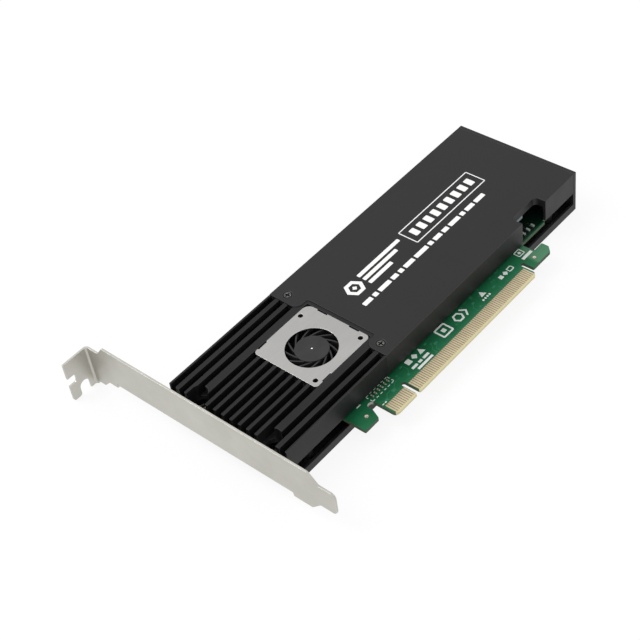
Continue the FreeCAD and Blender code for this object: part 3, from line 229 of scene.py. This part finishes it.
def dressed(node, bevel, finish, edge=None, segments=2, body=CARD):
    """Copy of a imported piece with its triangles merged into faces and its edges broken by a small
    bevel, held inside the piece's own box, with level shading on its flat faces; the bevel's faces
    may take a second finish, as handling and machining leave them."""
    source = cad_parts[node]
    mesh = source.data.copy()
    mesh.name = f"{node}_dressed"
    work = bmesh.new()
    work.from_mesh(mesh)
    bmesh.ops.remove_doubles(work, verts=work.verts, dist=MERGE_REACH)
    bmesh.ops.dissolve_limit(work, angle_limit=math.radians(SAME_PLANE_ANGLE),
                             verts=work.verts, edges=work.edges)
    work.to_mesh(mesh)
    work.free()
    mesh.materials.clear()
    mesh.materials.append(finish)
    mesh.polygons.foreach_set("material_index", np.zeros(len(mesh.polygons), np.int32))
    mesh.polygons.foreach_set("use_smooth", np.ones(len(mesh.polygons), bool))
    piece = bpy.data.objects.new(f"{node}_dressed", mesh)
    bpy.context.scene.collection.objects.link(piece)
    if edge is not None:
        mesh.materials.append(edge)
    step = piece.modifiers.new("broken edges", "BEVEL")
    step.width = bevel * MM
    step.segments = segments
    step.limit_method = "ANGLE"
    step.angle_limit = math.radians(SHARP_ANGLE)
    step.use_clamp_overlap = False
    step.face_strength_mode = "FSTR_ALL"
    step.material = 1 if edge is not None else 0
    level = piece.modifiers.new("even shading", "WEIGHTED_NORMAL")
    level.keep_sharp = True
    level.use_face_influence = True
    graph = bpy.context.evaluated_depsgraph_get()
    baked = bpy.data.meshes.new_from_object(piece.evaluated_get(graph))
    own = np.empty(3 * len(mesh.vertices), np.float32)
    mesh.vertices.foreach_get("co", own)
    low, high = own.reshape(-1, 3).min(0), own.reshape(-1, 3).max(0)
    spots = np.empty(3 * len(baked.vertices), np.float32)
    baked.vertices.foreach_get("co", spots)
    spots = np.clip(spots.reshape(-1, 3), low, high)
    baked.vertices.foreach_set("co", spots.ravel())
    flat_faces_level(baked, spots)
    piece.modifiers.clear()
    piece.data = baked
    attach(piece, body)
    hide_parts(node)
    return piece


# ---------------------------------------------------------------------------------------------
# Finishes
# ---------------------------------------------------------------------------------------------
class Finish:
    """A material under construction: its nodes, its shader and the object coordinates in metres."""

    def __init__(self, name, roughness, metallic=0.0, specular=0.5):
        self.material = bpy.data.materials.new(name)
        self.material.use_nodes = True
        self.nodes = self.material.node_tree.nodes
        self.links = self.material.node_tree.links
        self.nodes.clear()
        self.output = self.nodes.new("ShaderNodeOutputMaterial")
        self.shader = self.nodes.new("ShaderNodeBsdfPrincipled")
        self.links.new(self.shader.outputs["BSDF"], self.output.inputs["Surface"])
        self.shader.inputs["Roughness"].default_value = roughness
        self.shader.inputs["Metallic"].default_value = metallic
        self.shader.inputs["Specular IOR Level"].default_value = specular
        self.place = self.nodes.new("ShaderNodeTexCoord").outputs["Object"]

    def stretched(self, scale):
        """Object coordinates with each axis scaled by its own factor, for grain along one axis."""
        mapping = self.nodes.new("ShaderNodeMapping")
        mapping.inputs["Scale"].default_value = scale
        self.links.new(self.place, mapping.inputs["Vector"])
        return mapping.outputs["Vector"]

    def noise(self, scale, detail=4.0, rough=0.55, vector=None):
        """Fractal noise of about one over scale metres."""
        node = self.nodes.new("ShaderNodeTexNoise")
        node.inputs["Scale"].default_value = scale
        node.inputs["Detail"].default_value = detail
        node.inputs["Roughness"].default_value = rough
        self.links.new(vector if vector is not None else self.place, node.inputs["Vector"])
        return node.outputs["Fac"]

    def spread(self, value, low, high, from_low=0.3, from_high=0.7):
        """Linear change of range, clamped."""
        node = self.nodes.new("ShaderNodeMapRange")
        for key, number in (("From Min", from_low), ("From Max", from_high),
                            ("To Min", low), ("To Max", high)):
            node.inputs[key].default_value = number
        self.links.new(value, node.inputs["Value"])
        return node.outputs["Result"]

    def tones(self, value, stops):
        """Colour ramp from (place, colour) stops."""
        node = self.nodes.new("ShaderNodeValToRGB")
        ramp = node.color_ramp
        while len(ramp.elements) < len(stops):
            ramp.elements.new(0.5)
        for element, (place, colour) in zip(ramp.elements, stops):
            element.position = place
            element.color = (*colour, 1.0)
        self.links.new(value, node.inputs["Fac"])
        return node.outputs["Color"]

    def mixed(self, factor, first, second):
        """Two colours mixed by a factor; either colour may be a socket or three numbers."""
        node = self.nodes.new("ShaderNodeMix")
        node.data_type = "RGBA"
        if hasattr(factor, "default_value"):
            self.links.new(factor, node.inputs[0])
        else:
            node.inputs[0].default_value = factor
        for key, value in ((6, first), (7, second)):
            if hasattr(value, "default_value"):
                self.links.new(value, node.inputs[key])
            else:
                node.inputs[key].default_value = (*value, 1.0)
        return node.outputs[2]

    def maths(self, kind, first, second=0.0):
        """One step of arithmetic on sockets or numbers."""
        node = self.nodes.new("ShaderNodeMath")
        node.operation = kind
        for key, value in enumerate((first, second)):
            if hasattr(value, "default_value"):
                self.links.new(value, node.inputs[key])
            else:
                node.inputs[key].default_value = value
        return node.outputs[0]

    def product(self, first, *others):
        """Several factors multiplied."""
        for other in others:
            first = self.maths("MULTIPLY", first, other)
        return first

    def weighed(self, first, first_share, second, second_share):
        """Sum of two values, each times its share."""
        return self.maths("ADD", self.product(first, first_share),
                          self.product(second, second_share))

    def after(self, value, start, end, top=1.0):
        """0 below start, growing to top at end; start and end in millimetres."""
        return self.spread(value, 0, top, start * MM, end * MM)

    def before(self, value, start, end, top=1.0):
        """Top below start, falling to 0 at end; start and end in millimetres."""
        return self.spread(value, top, 0, start * MM, end * MM)

    def axis(self, letter):
        """One coordinate of the place."""
        node = self.nodes.new("ShaderNodeSeparateXYZ")
        self.links.new(self.place, node.inputs[0])
        return node.outputs[letter]

    def colour(self, socket):
        """Base colour from a socket."""
        self.links.new(socket, self.shader.inputs["Base Color"])

    def rough(self, socket):
        """Roughness from a socket."""
        self.links.new(socket, self.shader.inputs["Roughness"])

    def bump(self, height, depth, strength=0.6):
        """Relief of a depth in metres."""
        node = self.nodes.new("ShaderNodeBump")
        node.inputs["Strength"].default_value = strength
        node.inputs["Distance"].default_value = depth
        self.links.new(height, node.inputs["Height"])
        self.links.new(node.outputs["Normal"], self.shader.inputs["Normal"])


def anodised(name, dark, light, roughness, specular):
    """Blasted and dyed aluminium: fine matt relief, faint clouding and finger-soft patches."""
    finish = Finish(name, roughness, 0.0, specular)
    cloud = finish.noise(55, 3)
    grit = finish.noise(5200, 2, 0.6)
    finish.colour(finish.tones(finish.weighed(cloud, 0.7, grit, 0.3), ((0.3, dark), (0.7, light))))
    finish.rough(finish.spread(cloud, roughness - 0.05, roughness + 0.06))
    finish.bump(grit, 1.2e-5, 0.35)
    return finish.material


def plated_sheet(name, dark, light, roughness, grain):
    """Rolled and plated sheet metal: rolling grain along the sheet, faint stains, tiny pits."""
    finish = Finish(name, roughness, 1.0)
    along = finish.noise(1.0, 5, 0.6, finish.stretched(grain))
    cloud = finish.noise(70, 4)
    finish.colour(finish.tones(finish.weighed(along, 0.45, cloud, 0.55),
                               ((0.32, dark), (0.68, light))))
    finish.rough(finish.spread(along, roughness - 0.05, roughness + 0.07))
    finish.bump(along, 4e-6, 0.35)
    return finish.material


def moulded(name, dark, light, roughness, specular=0.4, texture=4200):
    """Moulded plastic: spark-eroded texture with a faint flow tone."""
    finish = Finish(name, roughness, 0.0, specular)
    flow = finish.noise(160, 3)
    grain = finish.noise(texture, 2)
    finish.colour(finish.tones(flow, ((0.3, dark), (0.7, light))))
    finish.rough(finish.spread(grain, roughness - 0.06, roughness + 0.06))
    finish.bump(grain, 8e-6, 0.4)
    return finish.material


def turned_metal(name, dark, light, roughness):
    """Small turned or stamped metal part: bright with a fine random wear."""
    finish = Finish(name, roughness, 1.0)
    wear = finish.noise(900, 4)
    finish.colour(finish.tones(wear, ((0.3, dark), (0.7, light))))
    finish.rough(finish.spread(wear, roughness - 0.06, roughness + 0.08))
    finish.bump(wear, 5e-6, 0.3)
    return finish.material


def board_green():
    """Solder mask over copper: lighter copper areas, short tracks up from the contacts at their
    own pitch, painted shade darkening the mask towards the housing's wall and nearly to black under
    it, a painted highlight lightening the hook, bare laminate between and below the contacts, dark
    cut edges with the notch's edge painted pale as a lit wall, and lock holes whose walls are
    painted pale as the bright floor seen through them, inside brown rings."""
    finish = Finish("solder_mask", 0.42, 0.0, 0.3)
    along, up = finish.axis("X"), finish.axis("Y")

    blocks = finish.nodes.new("ShaderNodeTexVoronoi")
    blocks.distance = "CHEBYCHEV"
    blocks.inputs["Scale"].default_value = 520
    finish.links.new(finish.place, blocks.inputs["Vector"])
    patch = finish.product(finish.spread(blocks.outputs["Distance"], 1, 0, 0.2, 0.24),
                           finish.spread(blocks.outputs["Color"], 0, 1, 0.52, 0.56))
    patch = finish.spread(patch, 0, 0.42, 0, 1)
    wave = finish.maths("SINE", finish.product(along, 2 * math.pi / (CONTACT_PITCH * MM)))
    track = finish.product(finish.spread(wave, 0, 0.28, 0.2, 0.6), finish.before(up, 6.4, 7.6))
    # from the notch beside the tab to the one beside the hook
    between_tabs = finish.product(finish.after(along, -12.7, -12.5),
                                  finish.before(along, 73.4, 73.6))
    pattern = finish.product(finish.maths("MAXIMUM", patch, track), between_tabs)

    cloud = finish.spread(finish.noise(150, 2), 0, 1, 0.3, 0.7)
    mask = finish.mixed(cloud, (0.0050, 0.112, 0.040), (0.0080, 0.145, 0.058))
    mask = finish.mixed(pattern, mask, (0.05, 0.26, 0.15))
    # painted shade: the mask darkens towards the housing's wall, where the wall's shadow falls
    mask = finish.mixed(finish.after(up, 10.5, 14.6, 0.5), mask, (0.003, 0.030, 0.012))
    # painted shade: the mask under the cover is made nearly black, as the shaded inside of the
    # housing
    mask = finish.mixed(finish.after(up, 14.5, 15.2, 0.9), mask, (0.001, 0.008, 0.006))
    # painted highlight: the hook's mask is lightened where light falls on it
    hook = finish.product(finish.after(along, 77.0, 78.6, 0.8), finish.before(up, 12.5, 14.0))
    mask = finish.mixed(hook, mask, (0.085, 0.235, 0.130))

    split = finish.nodes.new("ShaderNodeSeparateXYZ")
    finish.links.new(finish.nodes.new("ShaderNodeNewGeometry").outputs["Normal"], split.inputs[0])
    cut_edge = finish.spread(finish.maths("ABSOLUTE", split.outputs["Z"]), 1, 0, 0.2, 0.5)
    fibres = finish.noise(2600, 3)
    laminate = finish.tones(fibres, ((0.3, (0.54, 0.49, 0.27)), (0.7, (0.66, 0.60, 0.37))))
    gap_tone = finish.tones(fibres, ((0.3, (0.20, 0.125, 0.045)), (0.7, (0.29, 0.19, 0.075))))
    edge_tone = finish.mixed(fibres, (0.035, 0.070, 0.038), (0.080, 0.120, 0.065))
    # painted highlight: the notch's cut edge is painted pale as its lit wall
    notch = finish.product(finish.before(along, -12.9, -12.6), finish.after(up, 6.6, 7.0),
                           finish.after(along, -17.4, -17.0))
    edge_tone = finish.mixed(notch, edge_tone, (0.42, 0.42, 0.37))

    # both rows of contacts, without the key between them
    contact_run = finish.product(finish.after(along, -12.0, -11.9),
                                 finish.before(along, 71.9, 72.0),
                                 finish.after(finish.maths("ABSOLUTE", along), 1.05, 1.15))
    gap_zone = finish.product(contact_run, finish.before(up, 5.75, 5.85))
    bare_zone = finish.product(between_tabs, finish.before(up, 0.76, 0.84))
    painted = finish.mixed(cut_edge, finish.mixed(gap_zone, mask, gap_tone), edge_tone)
    surface = finish.mixed(bare_zone, painted, laminate)
    for x, y in LOCK_HOLES:
        across = finish.maths("SUBTRACT", along, x * MM)
        rise = finish.maths("SUBTRACT", up, y * MM)
        square = finish.maths("ADD", finish.product(across, across), finish.product(rise, rise))
        away = finish.maths("SQRT", square)
        surface = finish.mixed(finish.before(away, 0.92, 1.0, 0.85), surface, (0.16, 0.12, 0.06))
        # painted light: the hole's wall is painted pale as the bright floor seen through the hole
        surface = finish.mixed(finish.before(away, 0.64, 0.7), surface, (0.86, 0.84, 0.76))
    finish.colour(surface)
    finish.rough(finish.spread(finish.maths("MAXIMUM", cut_edge, gap_zone), 0.42, 0.7, 0, 1))
    finish.bump(pattern, 1.2e-5, 0.3)
    return finish.material


def contact_gold():
    """Hard gold over nickel, with fine rubbing marks along the contacts' length."""
    finish = Finish("contact_gold", 0.3, 1.0)
    rub = finish.noise(1.0, 4, 0.6, finish.stretched((9000, 500, 9000)))
    cloud = finish.noise(240, 3)
    finish.colour(finish.tones(finish.weighed(rub, 0.5, cloud, 0.5),
                               ((0.3, (0.66, 0.58, 0.39)), (0.7, (0.82, 0.74, 0.54)))))
    finish.rough(finish.spread(rub, 0.3, 0.46))
    finish.bump(rub, 3e-6, 0.3)
    return finish.material


def ink(name, tone, roughness=0.6):
    """Screen-printed ink: slightly uneven cover."""
    finish = Finish(name, roughness, 0.0, 0.35)
    cover = finish.noise(3000, 3)
    shade = tuple(0.86 * part for part in tone)
    finish.colour(finish.tones(cover, ((0.3, shade), (0.6, tone))))
    finish.bump(cover, 4e-6, 0.3)
    return finish.material


CONTACT_PITCH = 1.0                         # millimetres
LOCK_HOLES = [(-19.35, 8.1), (79.25, 5.8)]  # centres in millimetres

FINISHES = {
    "cover_black": anodised("cover_black", (0.0085, 0.0078, 0.0083),
                            (0.0125, 0.0115, 0.012), 0.5, 0.36),
    "sink_black": anodised("sink_black", (0.0060, 0.0060, 0.0066),
                           (0.0095, 0.0095, 0.0105), 0.5, 0.27),
    "black_edge": anodised("black_edge", (0.013, 0.0125, 0.013), (0.024, 0.023, 0.024), 0.42, 0.45),
    "bracket_steel": plated_sheet("bracket_steel", (0.50, 0.49, 0.44), (0.60, 0.59, 0.545), 0.43,
                                  (2500, 120, 2500)),
    "bracket_edge": plated_sheet("bracket_edge", (0.54, 0.53, 0.49), (0.64, 0.63, 0.59), 0.36,
                                 (2500, 300, 2500)),
    "blower_sheet": plated_sheet("blower_sheet", (0.44, 0.435, 0.425), (0.48, 0.475, 0.462), 0.46,
                                 (160, 3200, 3200)),
    "blower_black": moulded("blower_black", (0.017, 0.016, 0.017),
                            (0.026, 0.025, 0.027), 0.42, 0.36),
    "plate_edge": plated_sheet("plate_edge", (0.66, 0.655, 0.64), (0.76, 0.755, 0.74), 0.36,
                               (160, 3200, 3200)),
    # painted shade: near-black finish for the screws' cross recesses and the ring round their heads
    "painted_shade_black": moulded("painted_shade_black", (0.0025, 0.0025, 0.0026),
                          (0.005, 0.005, 0.0052), 0.6, 0.15),
    "socket_black": moulded("socket_black", (0.012, 0.012, 0.012), (0.022, 0.022, 0.022), 0.55),
    "chip_black": moulded("chip_black", (0.015, 0.015, 0.016), (0.03, 0.03, 0.032), 0.5, 0.4, 7000),
    "pale_nylon": moulded("pale_nylon", (0.56, 0.53, 0.44), (0.68, 0.65, 0.56), 0.5),
    "pad_grey": moulded("pad_grey", (0.17, 0.20, 0.23), (0.24, 0.27, 0.30), 0.85, 0.2, 2600),
    "lens_white": moulded("lens_white", (0.30, 0.34, 0.31), (0.42, 0.46, 0.42), 0.25, 0.5),
    "capacitor_tan": moulded("capacitor_tan", (0.20, 0.15, 0.09), (0.33, 0.26, 0.17), 0.4),
    "tantalum": moulded("tantalum", (0.42, 0.23, 0.03), (0.55, 0.32, 0.06), 0.45),
    "ferrite": moulded("ferrite", (0.028, 0.028, 0.03), (0.06, 0.06, 0.064), 0.6, 0.3, 3000),
    "magnet": moulded("magnet", (0.02, 0.02, 0.02), (0.04, 0.04, 0.04), 0.5),
    "screw_black": turned_metal("screw_black", (0.10, 0.098, 0.096), (0.24, 0.236, 0.23), 0.28),
    "screw_steel": turned_metal("screw_steel", (0.40, 0.39, 0.36), (0.58, 0.57, 0.53), 0.3),
    "solder": turned_metal("solder", (0.60, 0.60, 0.60), (0.78, 0.78, 0.78), 0.34),
    "brass": turned_metal("brass", (0.46, 0.32, 0.11), (0.64, 0.48, 0.20), 0.32),
    "bronze": turned_metal("bronze", (0.26, 0.15, 0.06), (0.40, 0.25, 0.11), 0.42),
    "copper": turned_metal("copper", (0.38, 0.13, 0.05), (0.56, 0.22, 0.10), 0.35),
    "lamination": turned_metal("lamination", (0.20, 0.20, 0.20), (0.34, 0.34, 0.34), 0.45),
    "gold": contact_gold(),
    "board": board_green(),
    "pale_mask": ink("pale_mask", (0.030, 0.205, 0.105), 0.45),
    "board_ink": ink("board_ink", (0.84, 0.87, 0.84)),
    "cover_ink": ink("cover_ink", (0.86, 0.86, 0.85)),
}

NODE_FINISHES = {
    "edge_contacts_component_side": "gold", "edge_contacts_solder_side": "gold",
    "blower_shaft": "screw_steel", "blower_bearing": "bronze", "blower_magnet": "magnet",
    "blower_motor_board": "board", "blower_stator": "lamination", "blower_coils": "copper",
    "blower_header": "pale_nylon", "switch_chip": "chip_black", "chip_thermal_pad": "pad_grey",
    "upper_near_drive_socket": "socket_black", "upper_far_drive_socket": "socket_black",
    "lower_near_drive_socket": "socket_black", "lower_far_drive_socket": "socket_black",
    "upper_standoffs": "brass", "lower_standoffs": "brass",
    "upper_drive_screws": "screw_steel", "lower_drive_screws": "screw_steel",
    "upper_thermal_pads": "pad_grey", "lower_thermal_pads": "pad_grey",
    "power_inductors": "ferrite", "regulator_chips": "chip_black", "bulk_capacitors": "tantalum",
    "clock_chip": "chip_black", "memory_chip": "chip_black", "light_resistors": "chip_black",
    "status_lights": "lens_white",
}
for node, finish in NODE_FINISHES.items():
    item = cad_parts[node]
    item.data.materials.clear()
    item.data.materials.append(FINISHES[finish])

# ---------------------------------------------------------------------------------------------
# Large pieces with broken edges
# ---------------------------------------------------------------------------------------------
dressed("finned_heatsink", 0.12, FINISHES["sink_black"], FINISHES["black_edge"])
dressed("drive_cover", 0.13, FINISHES["cover_black"], FINISHES["black_edge"])
dressed("base_cover", 0.13, FINISHES["cover_black"], FINISHES["black_edge"])
dressed("slot_bracket", 0.08, FINISHES["bracket_steel"], FINISHES["bracket_edge"])
dressed("circuit_board", 0.04, FINISHES["board"], segments=1)
dressed("blower_plate", 0.07, FINISHES["blower_sheet"], FINISHES["plate_edge"])
dressed("blower_frame", 0.08, FINISHES["blower_black"])
dressed("blower_impeller", 0.08, FINISHES["blower_black"], body=ROTOR)

# ---------------------------------------------------------------------------------------------
# Screws
# ---------------------------------------------------------------------------------------------
COVER_TOP, BASE_FOOT = 11.1, -7.9      # levels of the housing's two outer faces
HEAD_SINK = 0.12                       # how far the cap screws lie below those faces
CAP_RADIUS, CAP_RIM = 1.86, 1.38       # their clearance ring and the head proper
# the second finish paints shade into each cap screw's recess and into the ring between the head
# proper and the clearance ring
BLACK_HEAD_AND_SHADE = [FINISHES["screw_black"], FINISHES["painted_shade_black"]]


def screw_row(name, places, top, shape, finishes, groups=None, upwards=1):
    """Screws of one shape at several places, as one piece."""
    points, faces = merged([screw_head(x, y, top, *shape, upwards) for x, y in places])
    return mesh_piece(name, points, faces, finishes, groups=groups)


heads = screw_row("cover_screw_heads", [(3.2, 18.7), (3.2, 63.0)], COVER_TOP - HEAD_SINK,
                  (CAP_RADIUS, 0.1, 1.0, 1.08, 5.2, 0.98), BLACK_HEAD_AND_SHADE,
                  screw_shade_groups(2, CAP_RADIUS, CAP_RIM))
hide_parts("cover_screws")
heads = screw_row("base_screw_heads",
                  [(x, y) for x in (-41.0, -8.0, 105.015) for y in (18.2, 64.8)],
                  BASE_FOOT + HEAD_SINK, (CAP_RADIUS, 0.1, 1.0, 1.08, 10.9, 0.98), BLACK_HEAD_AND_SHADE,
                  screw_shade_groups(6, CAP_RADIUS, CAP_RIM), upwards=-1)
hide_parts("base_screws")
heads = screw_row("bracket_screw_heads", [(-51.0, 22.3), (-51.0, 57.0)], 1.55,
                  (2.66, 0.32, 2.62, 1.55, 5.4, 1.48), [FINISHES["screw_steel"]])
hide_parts("bracket_screws")

# ---------------------------------------------------------------------------------------------
# Ink on the cover: plain generic figures
# ---------------------------------------------------------------------------------------------
INK_LIFT = COVER_TOP + 0.02            # level of the cover's ink


def bar(left, low, right, high, level, corner=0.25):
    """Filled rectangle of ink with slightly rounded corners."""
    return flat_patch(round_box_line(left, low, right, high, corner), level)


def diamond(x, y, reach, level):
    """Filled square standing on its corner."""
    return flat_patch([(x - reach, y), (x, y - reach), (x + reach, y), (x, y + reach)], level)


def six_sided(x, y, radius, width, level):
    """Six-sided frame of ink round a centre."""
    return stroke(ring_line(x, y, radius, 0, 300, 6), width, level, closed=True)


emblem = [six_sided(19.8, 44.3, 3.3, 1.5, INK_LIFT), diamond(19.8, 44.3, 1.1, INK_LIFT)]
emblem += [bar(25.2, low, right, low + 1.7, INK_LIFT, 0.4)
           for low, right in ((46.3, 49.6), (43.5, 44.8), (40.7, 38.4))]
panel = [stroke(round_box_line(52.4, 40.2, 95.4, 49.4, 0.4), 0.45, INK_LIFT, closed=True)]
panel += [bar(left, 42.7, left + 2.7, 46.9, INK_LIFT, 0.4) for left in np.linspace(55.2, 89.9, 9)]
caption = []
left = 14.8
for wide in (4.6, 2.2, 6.4, 3.2, 2.2, 5.4, 7.2, 2.2, 4.2, 3.2, 6.0, 2.2, 4.8, 5.6):
    caption.append(bar(left, 34.8, left + wide, 36.8, INK_LIFT))
    left += wide + 1.1


def print_piece(name, shapes, finish, body=CARD):
    """Flat marks of one finish as one piece."""
    points, faces = merged(shapes)
    mesh_piece(name, points, faces, [FINISHES[finish]], body=body, smooth=False)


print_piece("cover_print", emblem + panel + caption, "cover_ink")

# ---------------------------------------------------------------------------------------------
# Ink, pads and small parts on the board
# ---------------------------------------------------------------------------------------------
BOARD_LIFT, TRACK_LIFT = 0.015, 0.008   # levels of the board's ink, and of its tracks and pads
marks = [bar(8.6, 6.4, 17.0, 7.4, BOARD_LIFT, 0.2)]
marks += [bar(left, 8.2, left + wide, 9.3, BOARD_LIFT, 0.2)
          for left, wide in ((7.4, 3.0), (11.2, 1.8), (13.8, 3.2))]
marks += [bar(8.0, 10.7, 10.4, 13.1, BOARD_LIFT, 0.3), diamond(12.6, 11.9, 1.4, BOARD_LIFT),
          flat_patch([(14.6, 10.6), (17.6, 10.6), (16.1, 13.3)], BOARD_LIFT),
          stroke(round_box_line(26.4, 8.6, 31.6, 13.4, 0.4), 0.75, BOARD_LIFT, closed=True),
          bar(28.1, 10.1, 29.9, 11.9, BOARD_LIFT, 0.2),
          six_sided(37.4, 10.6, 2.0, 0.75, BOARD_LIFT),
          stroke([(40.3, 8.5), (42.0, 10.6), (40.3, 12.7)], 0.75, BOARD_LIFT),
          flat_patch([(50.6, 9.6), (53.6, 9.6), (52.1, 12.2)], BOARD_LIFT)]
marks += [bar(49.4 + 1.3 * k, 7.8, 50.2 + 1.3 * k, 8.7, BOARD_LIFT, 0.15) for k in range(4)]
marks += [bar(62.4, 9.0, 64.2, 10.8, BOARD_LIFT, 0.2), diamond(66.0, 9.9, 1.2, BOARD_LIFT),
          stroke(round_box_line(67.9, 9.0, 70.3, 10.8, 0.2), 0.45, BOARD_LIFT, closed=True),
          stroke(round_box_line(76.4, 10.6, 79.6, 13.4, 0.3), 0.4, BOARD_LIFT, closed=True),
          diamond(78.0, 12.0, 0.8, BOARD_LIFT),
          bar(75.9, 8.2, 81.6, 9.5, BOARD_LIFT, 0.15),
          bar(-18.5, 13.1, -16.4, 13.5, BOARD_LIFT, 0.1),
          bar(-12.2, 6.5, -11.2, 6.9, BOARD_LIFT, 0.1),
          bar(-10.8, 6.4, -10.0, 6.9, BOARD_LIFT, 0.1)]
marks += [stroke([(start, row), (start + 1.1, row)], 0.3, BOARD_LIFT)
          for row in (10.6, 13.9) for start in (-12.6, -10.6, -8.4, -6.2, -4.2, -2.2)]
marks += [stroke([(side, low), (side, low + 1.2)], 0.3, BOARD_LIFT)
          for side in (-12.7, -0.8) for low in (10.6, 12.7)]
print_piece("board_print", marks, "board_ink")

pad_places = ((-4.4, 7.9, 1.7, 1.3), (-9.6, 7.0, 1.9, 1.1), (4.6, 8.2, 1.0, 1.0),
              (5.6, 12.6, 1.4, 0.6), (22.2, 9.6, 1.8, 1.0), (19.6, 12.4, 1.2, 0.8),
              (46.2, 10.4, 1.3, 0.9), (57.6, 9.2, 1.6, 0.8))
track_lines = ([(-8.6, 7.4), (-7.2, 8.8), (-5.3, 8.8)], [(-3.4, 8.4), (-1.6, 9.8), (1.6, 9.8)],
               [(-10.6, 7.4), (-11.8, 8.6)], [(5.2, 8.8), (6.4, 10.0), (6.4, 12.0)],
               [(19.0, 6.2), (19.0, 8.4), (20.6, 10.0)], [(20.4, 6.2), (20.4, 7.8), (22.0, 8.8)],
               [(44.2, 6.2), (44.2, 8.6), (45.4, 9.8)], [(58.8, 6.2), (58.8, 8.0)])
pads = [bar(x - wide / 2, y - high / 2, x + wide / 2, y + high / 2, TRACK_LIFT, 0.15)
        for x, y, wide, high in pad_places]
pads += [stroke(line, 0.22, TRACK_LIFT) for line in track_lines]
print_piece("board_tracks", pads, "pale_mask")


def box_of(node):
    """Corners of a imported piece's box in millimetres."""
    return np.array([corner[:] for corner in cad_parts[node].bound_box]) / MM


shaft = box_of("blower_shaft")
fan_x, fan_y = (shaft.min(0) + shaft.max(0))[:2] / 2
hub_top = box_of("blower_impeller")[:, 2].max()
dot = flat_patch(ring_line(fan_x, fan_y, 0.32, 0, 345, 24), hub_top + 0.01)
print_piece("hub_centre_mark", [dot], "cover_ink", ROTOR)

ceramic, metal = [], []
for x in -11.1 + 1.75 * np.arange(6):
    ceramic.append(soft_block((x - 0.3, 11.95, 0.02), (x + 0.3, 12.65, 0.58), 0.06))
    for low, high in ((11.55, 12.0), (12.6, 13.05)):
        metal.append(soft_block((x - 0.3, low, 0.01), (x + 0.3, high, 0.6), 0.08))
points, faces = merged(ceramic + metal)
ceramic_faces = sum(len(loops) for _, loops in ceramic)
caps = mesh_piece("edge_capacitor_row", points, faces,
                  [FINISHES["capacitor_tan"], FINISHES["solder"]],
                  groups=[0] * ceramic_faces + [1] * (len(faces) - ceramic_faces))
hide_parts("edge_capacitors")

# ---------------------------------------------------------------------------------------------
# Floor, lights and camera
# ---------------------------------------------------------------------------------------------
FLOOR_SPAN, FLOOR_GAP = 20000.0, 0.05   # half width, and distance below the card, millimetres
FLOOR_GLOW = 0.88                       # share of plain white where the floor is seen or mirrored


def plain_floor():
    """Pale level floor just under the card, which looks white and still takes soft shadows."""
    finish = Finish("pale_floor", 0.9, 0.0, 0.1)
    finish.colour(finish.tones(finish.noise(3, 2),
                               ((0.3, (0.88, 0.88, 0.88)), (0.7, (0.90, 0.90, 0.90)))))
    ray = finish.nodes.new("ShaderNodeLightPath").outputs
    watched = finish.maths("MAXIMUM", ray["Is Camera Ray"],
                           finish.maths("MAXIMUM", ray["Is Glossy Ray"],
                                        ray["Is Transmission Ray"]))
    white = finish.nodes.new("ShaderNodeEmission")
    blend = finish.nodes.new("ShaderNodeMixShader")
    finish.links.new(finish.product(watched, FLOOR_GLOW), blend.inputs[0])
    finish.links.new(finish.shader.outputs["BSDF"], blend.inputs[1])
    finish.links.new(white.outputs[0], blend.inputs[2])
    finish.links.new(blend.outputs[0], finish.output.inputs["Surface"])
    far = FLOOR_SPAN
    points, faces = flat_patch([(-far, -far), (far, -far), (far, far), (-far, far)],
                               BASE_FOOT - FLOOR_GAP)
    mesh = bpy.data.meshes.new("floor")
    mesh.from_pydata((points * MM).tolist(), [], faces)
    mesh.materials.append(finish.material)
    floor = bpy.data.objects.new("floor", mesh)
    bpy.context.scene.collection.objects.link(floor)


LIGHT_AIM = Vector((0.02, 0.04, 0.0))   # near the card's middle, metres


def soft_light(name, place, size, power):
    """Square soft box at a place in metres, turned towards the card."""
    lamp = bpy.data.lights.new(name, "AREA")
    lamp.shape = "SQUARE"
    lamp.size = size
    lamp.energy = power
    holder = bpy.data.objects.new(name, lamp)
    holder.location = place
    run = LIGHT_AIM - Vector(place)
    holder.rotation_euler = run.to_track_quat("-Z", "Y").to_euler()
    bpy.context.scene.collection.objects.link(holder)


plain_floor()
world = bpy.data.worlds.new("studio")
bpy.context.scene.world = world
world.use_nodes = True
sky = world.node_tree.nodes["Background"].inputs
sky["Color"].default_value = (1.0, 1.0, 1.0, 1.0)
sky["Strength"].default_value = 0.85
soft_light("key_light", (-0.35, 0.55, 0.9), 0.7, 6.0)
soft_light("fill_light", (0.6, -0.7, 0.7), 0.8, 0.8)

camera_data = bpy.data.cameras.new("view")   # widths in millimetres, its place in metres
camera_data.sensor_width = 36.0
camera_data.lens = 82.12
camera = bpy.data.objects.new("view", camera_data)
camera_place = Vector((-0.25674, -0.23153, 0.38178))
camera_right = Vector((0.644358, -0.755840, -0.116229))
camera_up = Vector((0.590747, 0.395466, 0.703296))
camera_back = camera_right.cross(camera_up)
camera.matrix_world = Matrix.Translation(camera_place) @ Matrix(
    (camera_right, camera_up, camera_back)).transposed().to_4x4()
camera_data.clip_start = 0.01
bpy.context.scene.collection.objects.link(camera)
bpy.context.scene.camera = camera
bpy.context.scene.view_settings.view_transform = "Standard"
